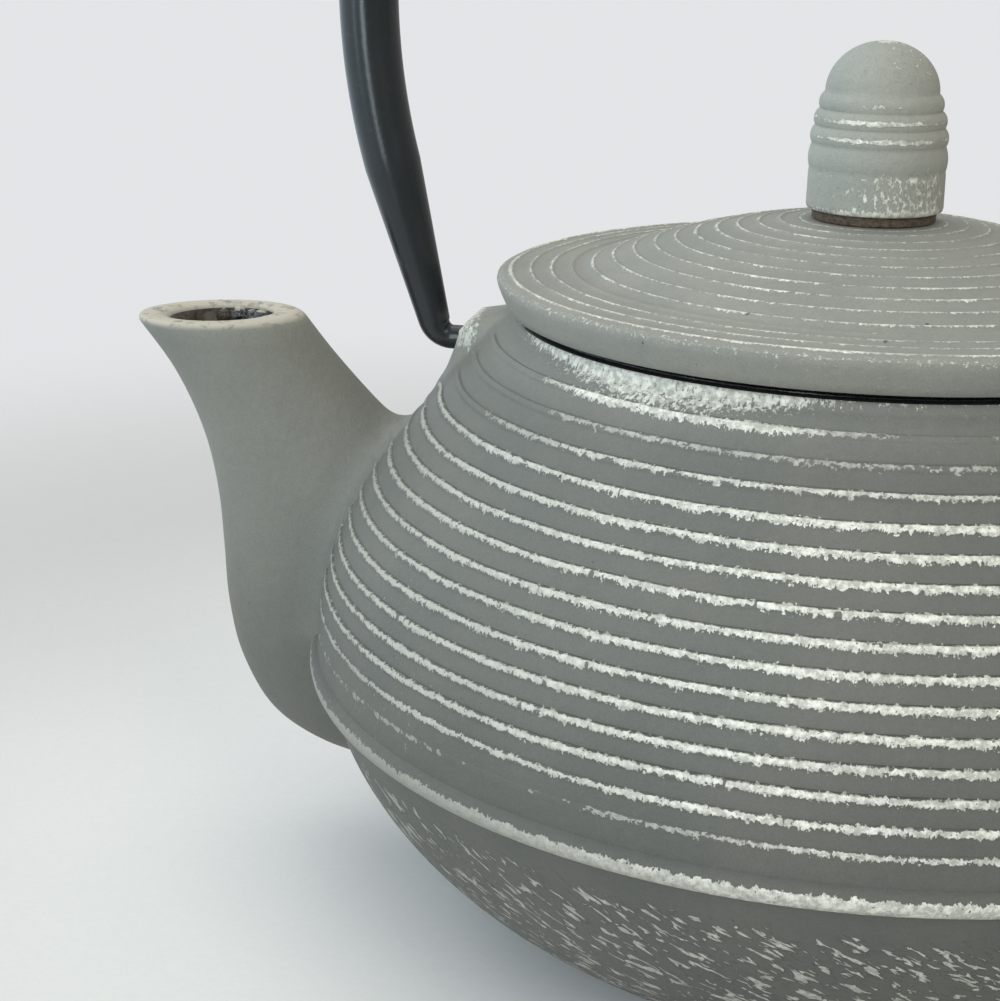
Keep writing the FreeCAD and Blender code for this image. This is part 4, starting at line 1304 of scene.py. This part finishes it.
# ------------------------------------------------------------------ bail handle
def bail_path():
    """Centre line of the right half of the bail with its tube radius, hook to crown."""
    bend_centre = (BEND_START, PIVOT_HEIGHT + BEND_RADIUS)
    line = [(HOOK_END + d, PIVOT_HEIGHT, HOOK_RADIUS) for d in (0.35, 2, 4, BEND_START - HOOK_END)]
    for turn in np.linspace(0, LEG_SLOPE, 12)[1:]:
        share = turn / LEG_SLOPE
        line.append((bend_centre[0] + BEND_RADIUS * math.sin(turn),
                     bend_centre[1] - BEND_RADIUS * math.cos(turn),
                     HOOK_RADIUS + (BEND_TUBE - HOOK_RADIUS) * share ** 1.5))
    x, z, _ = line[-1]
    for share in np.linspace(0, 1, 22)[1:]:
        line.append((x + LEG_LENGTH * share * math.cos(LEG_SLOPE),
                     z + LEG_LENGTH * share * math.sin(LEG_SLOPE),
                     BEND_TUBE + (LEG_TUBE - BEND_TUBE) * share))
    x, z, _ = line[-1]
    lean = math.pi / 2 - LEG_SLOPE
    sweep = (BAIL_HALF_WIDTH - x) / (1 - math.cos(lean))
    wide_z = z + sweep * math.sin(lean)
    for share in np.linspace(0, 1, 16)[1:]:
        turn = lean * (1 - share)
        line.append((BAIL_HALF_WIDTH - sweep * (1 - math.cos(turn)),
                     wide_z - sweep * math.sin(turn),
                     LEG_TUBE + (BAIL_TUBE - LEG_TUBE) * share))
    reach = BAIL_HALF_WIDTH - CROWN_SMALL_RADIUS
    rise = BAIL_TOP - wide_z - CROWN_SMALL_RADIUS
    angle = 2 * math.atan(rise / reach)
    big = CROWN_SMALL_RADIUS + reach / math.sin(angle)
    for turn in np.linspace(0, math.pi / 2 - angle, 16)[1:]:
        line.append((reach + CROWN_SMALL_RADIUS * math.cos(turn),
                     wide_z + CROWN_SMALL_RADIUS * math.sin(turn), BAIL_TUBE))
    for turn in np.linspace(angle, 0, 40)[1:]:
        line.append((big * math.sin(turn), BAIL_TOP - big + big * math.cos(turn), BAIL_TUBE))
    return np.array(line)


def build_bail(material):
    half = bail_path()
    other = half[:-1][::-1] * (-1, 1, 1)
    line = np.vstack([half, other])
    centre, size = line[:, :2], line[:, 2]
    way = np.gradient(centre, axis=0)
    way /= np.hypot(*way.T)[:, None]
    phi = even_angles(BAIL_COLUMNS)
    rings = []
    for (x, z), (dx, dz), radius in zip(centre, way, size):
        in_plane = radius * np.cos(phi)
        rings.append(np.column_stack([x - dz * in_plane, radius * np.sin(phi),
                                      z + dx * in_plane]))
    tip = []
    for share in (0.25, 0.6, 0.85):
        ring = rings[0].copy()
        middle = ring.mean(0)
        ring = middle + (ring - middle) * share
        ring[:, 0] -= 0.33 * math.sqrt(1 - share * share)
        tip.append(ring)
    end = [ring * (-1, 1, 1) for ring in tip[::-1]]
    stack = tip + rings + [align(ring, rings[-1]) for ring in end]
    piece = make_object("bail_tube", *capped_grid(np.stack(stack)), 60)
    piece.data.materials.append(material)
    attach(piece, "handle")
    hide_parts("bail_handle")


def align(ring, like):
    """The same ring with its points in the order of another one."""
    best = int(np.argmin(((ring - like[0]) ** 2).sum(1)))
    forward = np.roll(ring, -best, axis=0)
    backward = np.roll(ring[::-1], -(len(ring) - 1 - best), axis=0)
    same = ((forward[1] - like[1]) ** 2).sum() <= ((backward[1] - like[1]) ** 2).sum()
    return forward if same else backward


# ------------------------------------------------------------------ infuser mesh
def wire_tube(centres, closed):
    """A thin three-sided wire along points, as points and faces."""
    centres = np.asarray(centres)
    way = np.roll(centres, -1, 0) - np.roll(centres, 1, 0)
    if not closed:
        way[0] = centres[1] - centres[0]
        way[-1] = centres[-1] - centres[-2]
    way /= np.linalg.norm(way, axis=1)[:, None]
    guide = np.where(np.abs(way[:, 2:]) > 0.7, (1.0, 0.0, 0.0), (0.0, 0.0, 1.0))
    side = np.cross(way, guide)
    side /= np.linalg.norm(side, axis=1)[:, None]
    up = np.cross(side, way)
    rings = np.stack([centres + WIRE * (math.cos(a) * side + math.sin(a) * up)
                      for a in (0.5, 0.5 + TURN / 3, 0.5 + 2 * TURN / 3)], 1)
    if closed:
        return rings.reshape(-1, 3), grid_faces(*rings.shape[:2], wrap_rows=True)
    faces = grid_faces(*rings.shape[:2])
    last = (len(rings) - 1) * 3
    return rings.reshape(-1, 3), faces + [(2, 1, 0), (last, last + 1, last + 2)]


def gather(name, wires, material, node):
    points, faces, count = [], [], 0
    for wire_points, wire_faces in wires:
        points.append(wire_points)
        faces += [tuple(v + count for v in face) for face in wire_faces]
        count += len(wire_points)
    piece = make_object(name, np.vstack(points), faces, 180)
    piece.data.materials.append(material)
    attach(piece, "infuser")
    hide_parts(node)


def build_infuser_mesh(material):
    """Plain weave: upright wires and hoops pass over and under each other."""
    uprights = int(TURN * MESH_RADIUS / MESH_PITCH) // 2 * 2
    hoops = int((MESH_HIGH - MESH_LOW) / MESH_PITCH)
    wires = []
    for i in range(uprights):
        angle = TURN * i / uprights
        steps = np.arange(2 * hoops + 1)
        sway = WIRE * np.sin(math.pi * (steps / 2 + i))
        z = MESH_LOW + (MESH_HIGH - MESH_LOW) * steps / steps[-1]
        r = MESH_RADIUS + sway * 0.9
        wires.append(wire_tube(np.column_stack([r * math.cos(angle), r * math.sin(angle), z]),
                               False))
    for j in range(hoops):
        angle = even_angles(2 * uprights)
        sway = -WIRE * np.cos(uprights * angle / 2 + math.pi * j) * 0.9
        r = MESH_RADIUS + sway
        z = MESH_LOW + (MESH_HIGH - MESH_LOW) * (j + 0.5) / hoops
        wires.append(wire_tube(np.column_stack([r * np.cos(angle), r * np.sin(angle),
                                                np.full(len(angle), z)]), True))
    gather("infuser_mesh_wall", wires, material, "infuser_wall")
    wires = []
    count = int(2 * MESH_FLOOR_RADIUS / MESH_PITCH)
    for direction in (0, 1):
        for i in range(1, count):
            off = -MESH_FLOOR_RADIUS + MESH_PITCH * i
            half = math.sqrt(MESH_FLOOR_RADIUS ** 2 - off * off)
            across = np.arange(-half, half, MESH_PITCH / 2)
            if len(across) < 4:
                continue
            sway = WIRE * np.sin(math.pi * across / MESH_PITCH + math.pi * (i + direction)) * 0.9
            sway = sway if direction else -sway
            flat = np.full(len(across), off)
            x, y = (across, flat) if direction else (flat, across)
            wires.append(wire_tube(np.column_stack([x, y, MESH_LOW + sway]), False))
    gather("infuser_mesh_floor", wires, material, "infuser_floor")


# ------------------------------------------------------------------ stage and camera
def build_floor(material):
    spots = [1.0] + list(np.linspace(40, 440, 11))
    rings = turned_rings(spots, np.zeros(len(spots)), FLOOR_COLUMNS)
    faces = grid_faces(*rings.shape[:2]) + [tuple(range(FLOOR_COLUMNS))]
    floor = make_object("floor", rings.reshape(-1, 3), faces)
    if floor.data.polygons[0].normal.z < 0:
        floor.data.flip_normals()
    floor.data.materials.append(material)


def add_light(name, place, aim, width, height, power, colour):
    lamp = bpy.data.lights.new(name, "AREA")
    lamp.shape = "RECTANGLE"
    lamp.size = width
    lamp.size_y = height
    lamp.energy = power
    lamp.color = colour
    holder = bpy.data.objects.new(name, lamp)
    holder.location = place
    holder.rotation_euler = (Vector(aim) - Vector(place)).to_track_quat("-Z", "Y").to_euler()
    holder.visible_camera = False
    bpy.context.scene.collection.objects.link(holder)


def build_light():
    """A soft bright room: lighter above, behind and at the left, where a window is."""
    world = bpy.data.worlds.new("studio")
    world.use_nodes = True
    tree = world.node_tree
    tree.nodes.clear()
    net = Net.over(tree)
    way = Value(net, tree.nodes.new("ShaderNodeTexCoord").outputs["Generated"])
    x, y, z = net.parts(way)
    strength = (ROOM_DIM + net.step(x, 0.1, -0.9, 0.0, ROOM_LEFT)
                + (net.step(y, -0.6, 0.6, 0.0, ROOM_BACK)
                   + net.step(z, 0.0, 0.8, 0.0, ROOM_ABOVE)))
    room = tree.nodes.new("ShaderNodeBackground")
    net.put(room.inputs["Color"], net.mix(net.step(x, 0.2, -0.8), ROOM_WARM, ROOM_COOL))
    net.put(room.inputs["Strength"], strength)
    seen = tree.nodes.new("ShaderNodeBackground")
    seen.inputs["Color"].default_value = BACKDROP
    path = tree.nodes.new("ShaderNodeLightPath")
    either = tree.nodes.new("ShaderNodeMixShader")
    output = tree.nodes.new("ShaderNodeOutputWorld")
    tree.links.new(path.outputs["Is Camera Ray"], either.inputs[0])
    tree.links.new(room.outputs[0], either.inputs[1])
    tree.links.new(seen.outputs[0], either.inputs[2])
    tree.links.new(either.outputs[0], output.inputs["Surface"])
    bpy.context.scene.world = world
    for lamp in LAMPS:
        add_light(*lamp)
    bpy.context.scene.view_settings.view_transform = "Standard"


def build_camera():
    forward = Vector((-math.sin(CAMERA_YAW) * math.cos(CAMERA_PITCH),
                      math.cos(CAMERA_YAW) * math.cos(CAMERA_PITCH), -math.sin(CAMERA_PITCH)))
    right = Vector((math.cos(CAMERA_YAW), math.sin(CAMERA_YAW), 0))
    up = right.cross(forward)
    tilt = math.cos(CAMERA_ROLL) * right + math.sin(CAMERA_ROLL) * up
    top = math.cos(CAMERA_ROLL) * up - math.sin(CAMERA_ROLL) * right
    data = bpy.data.cameras.new("camera")
    data.sensor_width = SENSOR
    data.lens = CAMERA_LENS
    data.clip_start = 0.01
    camera = bpy.data.objects.new("camera", data)
    camera.matrix_world = Matrix.Translation(CAMERA_PLACE) @ Matrix(
        (tilt, top, -forward)).transposed().to_4x4()
    bpy.context.scene.collection.objects.link(camera)
    bpy.context.scene.camera = camera


def dress(material, *names):
    """Gives CAD nodes whose shape is right their finish."""
    for name in names:
        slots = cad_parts[name].data.materials
        slots.clear()
        slots.append(material)


build_camera()
build_light()
build_floor(floor_paper())
glaze = enamel()
build_pot(pot_paint(), glaze)
boss_height = build_lid(lid_paint(), glaze)
build_knob(knob_paint(), boss_height)
build_collar(collar_brown(), boss_height)
build_bail(handle_black())
build_infuser_mesh(steel("steel_wire", 0.3, (1.0, 1.0, 1.0)))
dress(steel(), "screw_washer", "knob_screw", "infuser_rim", "infuser_clamp_ring",
      "infuser_base_ring")
dress(steel("steel_seam", 0.28, (1.0, 1.0, 0.4)), "infuser_seam")
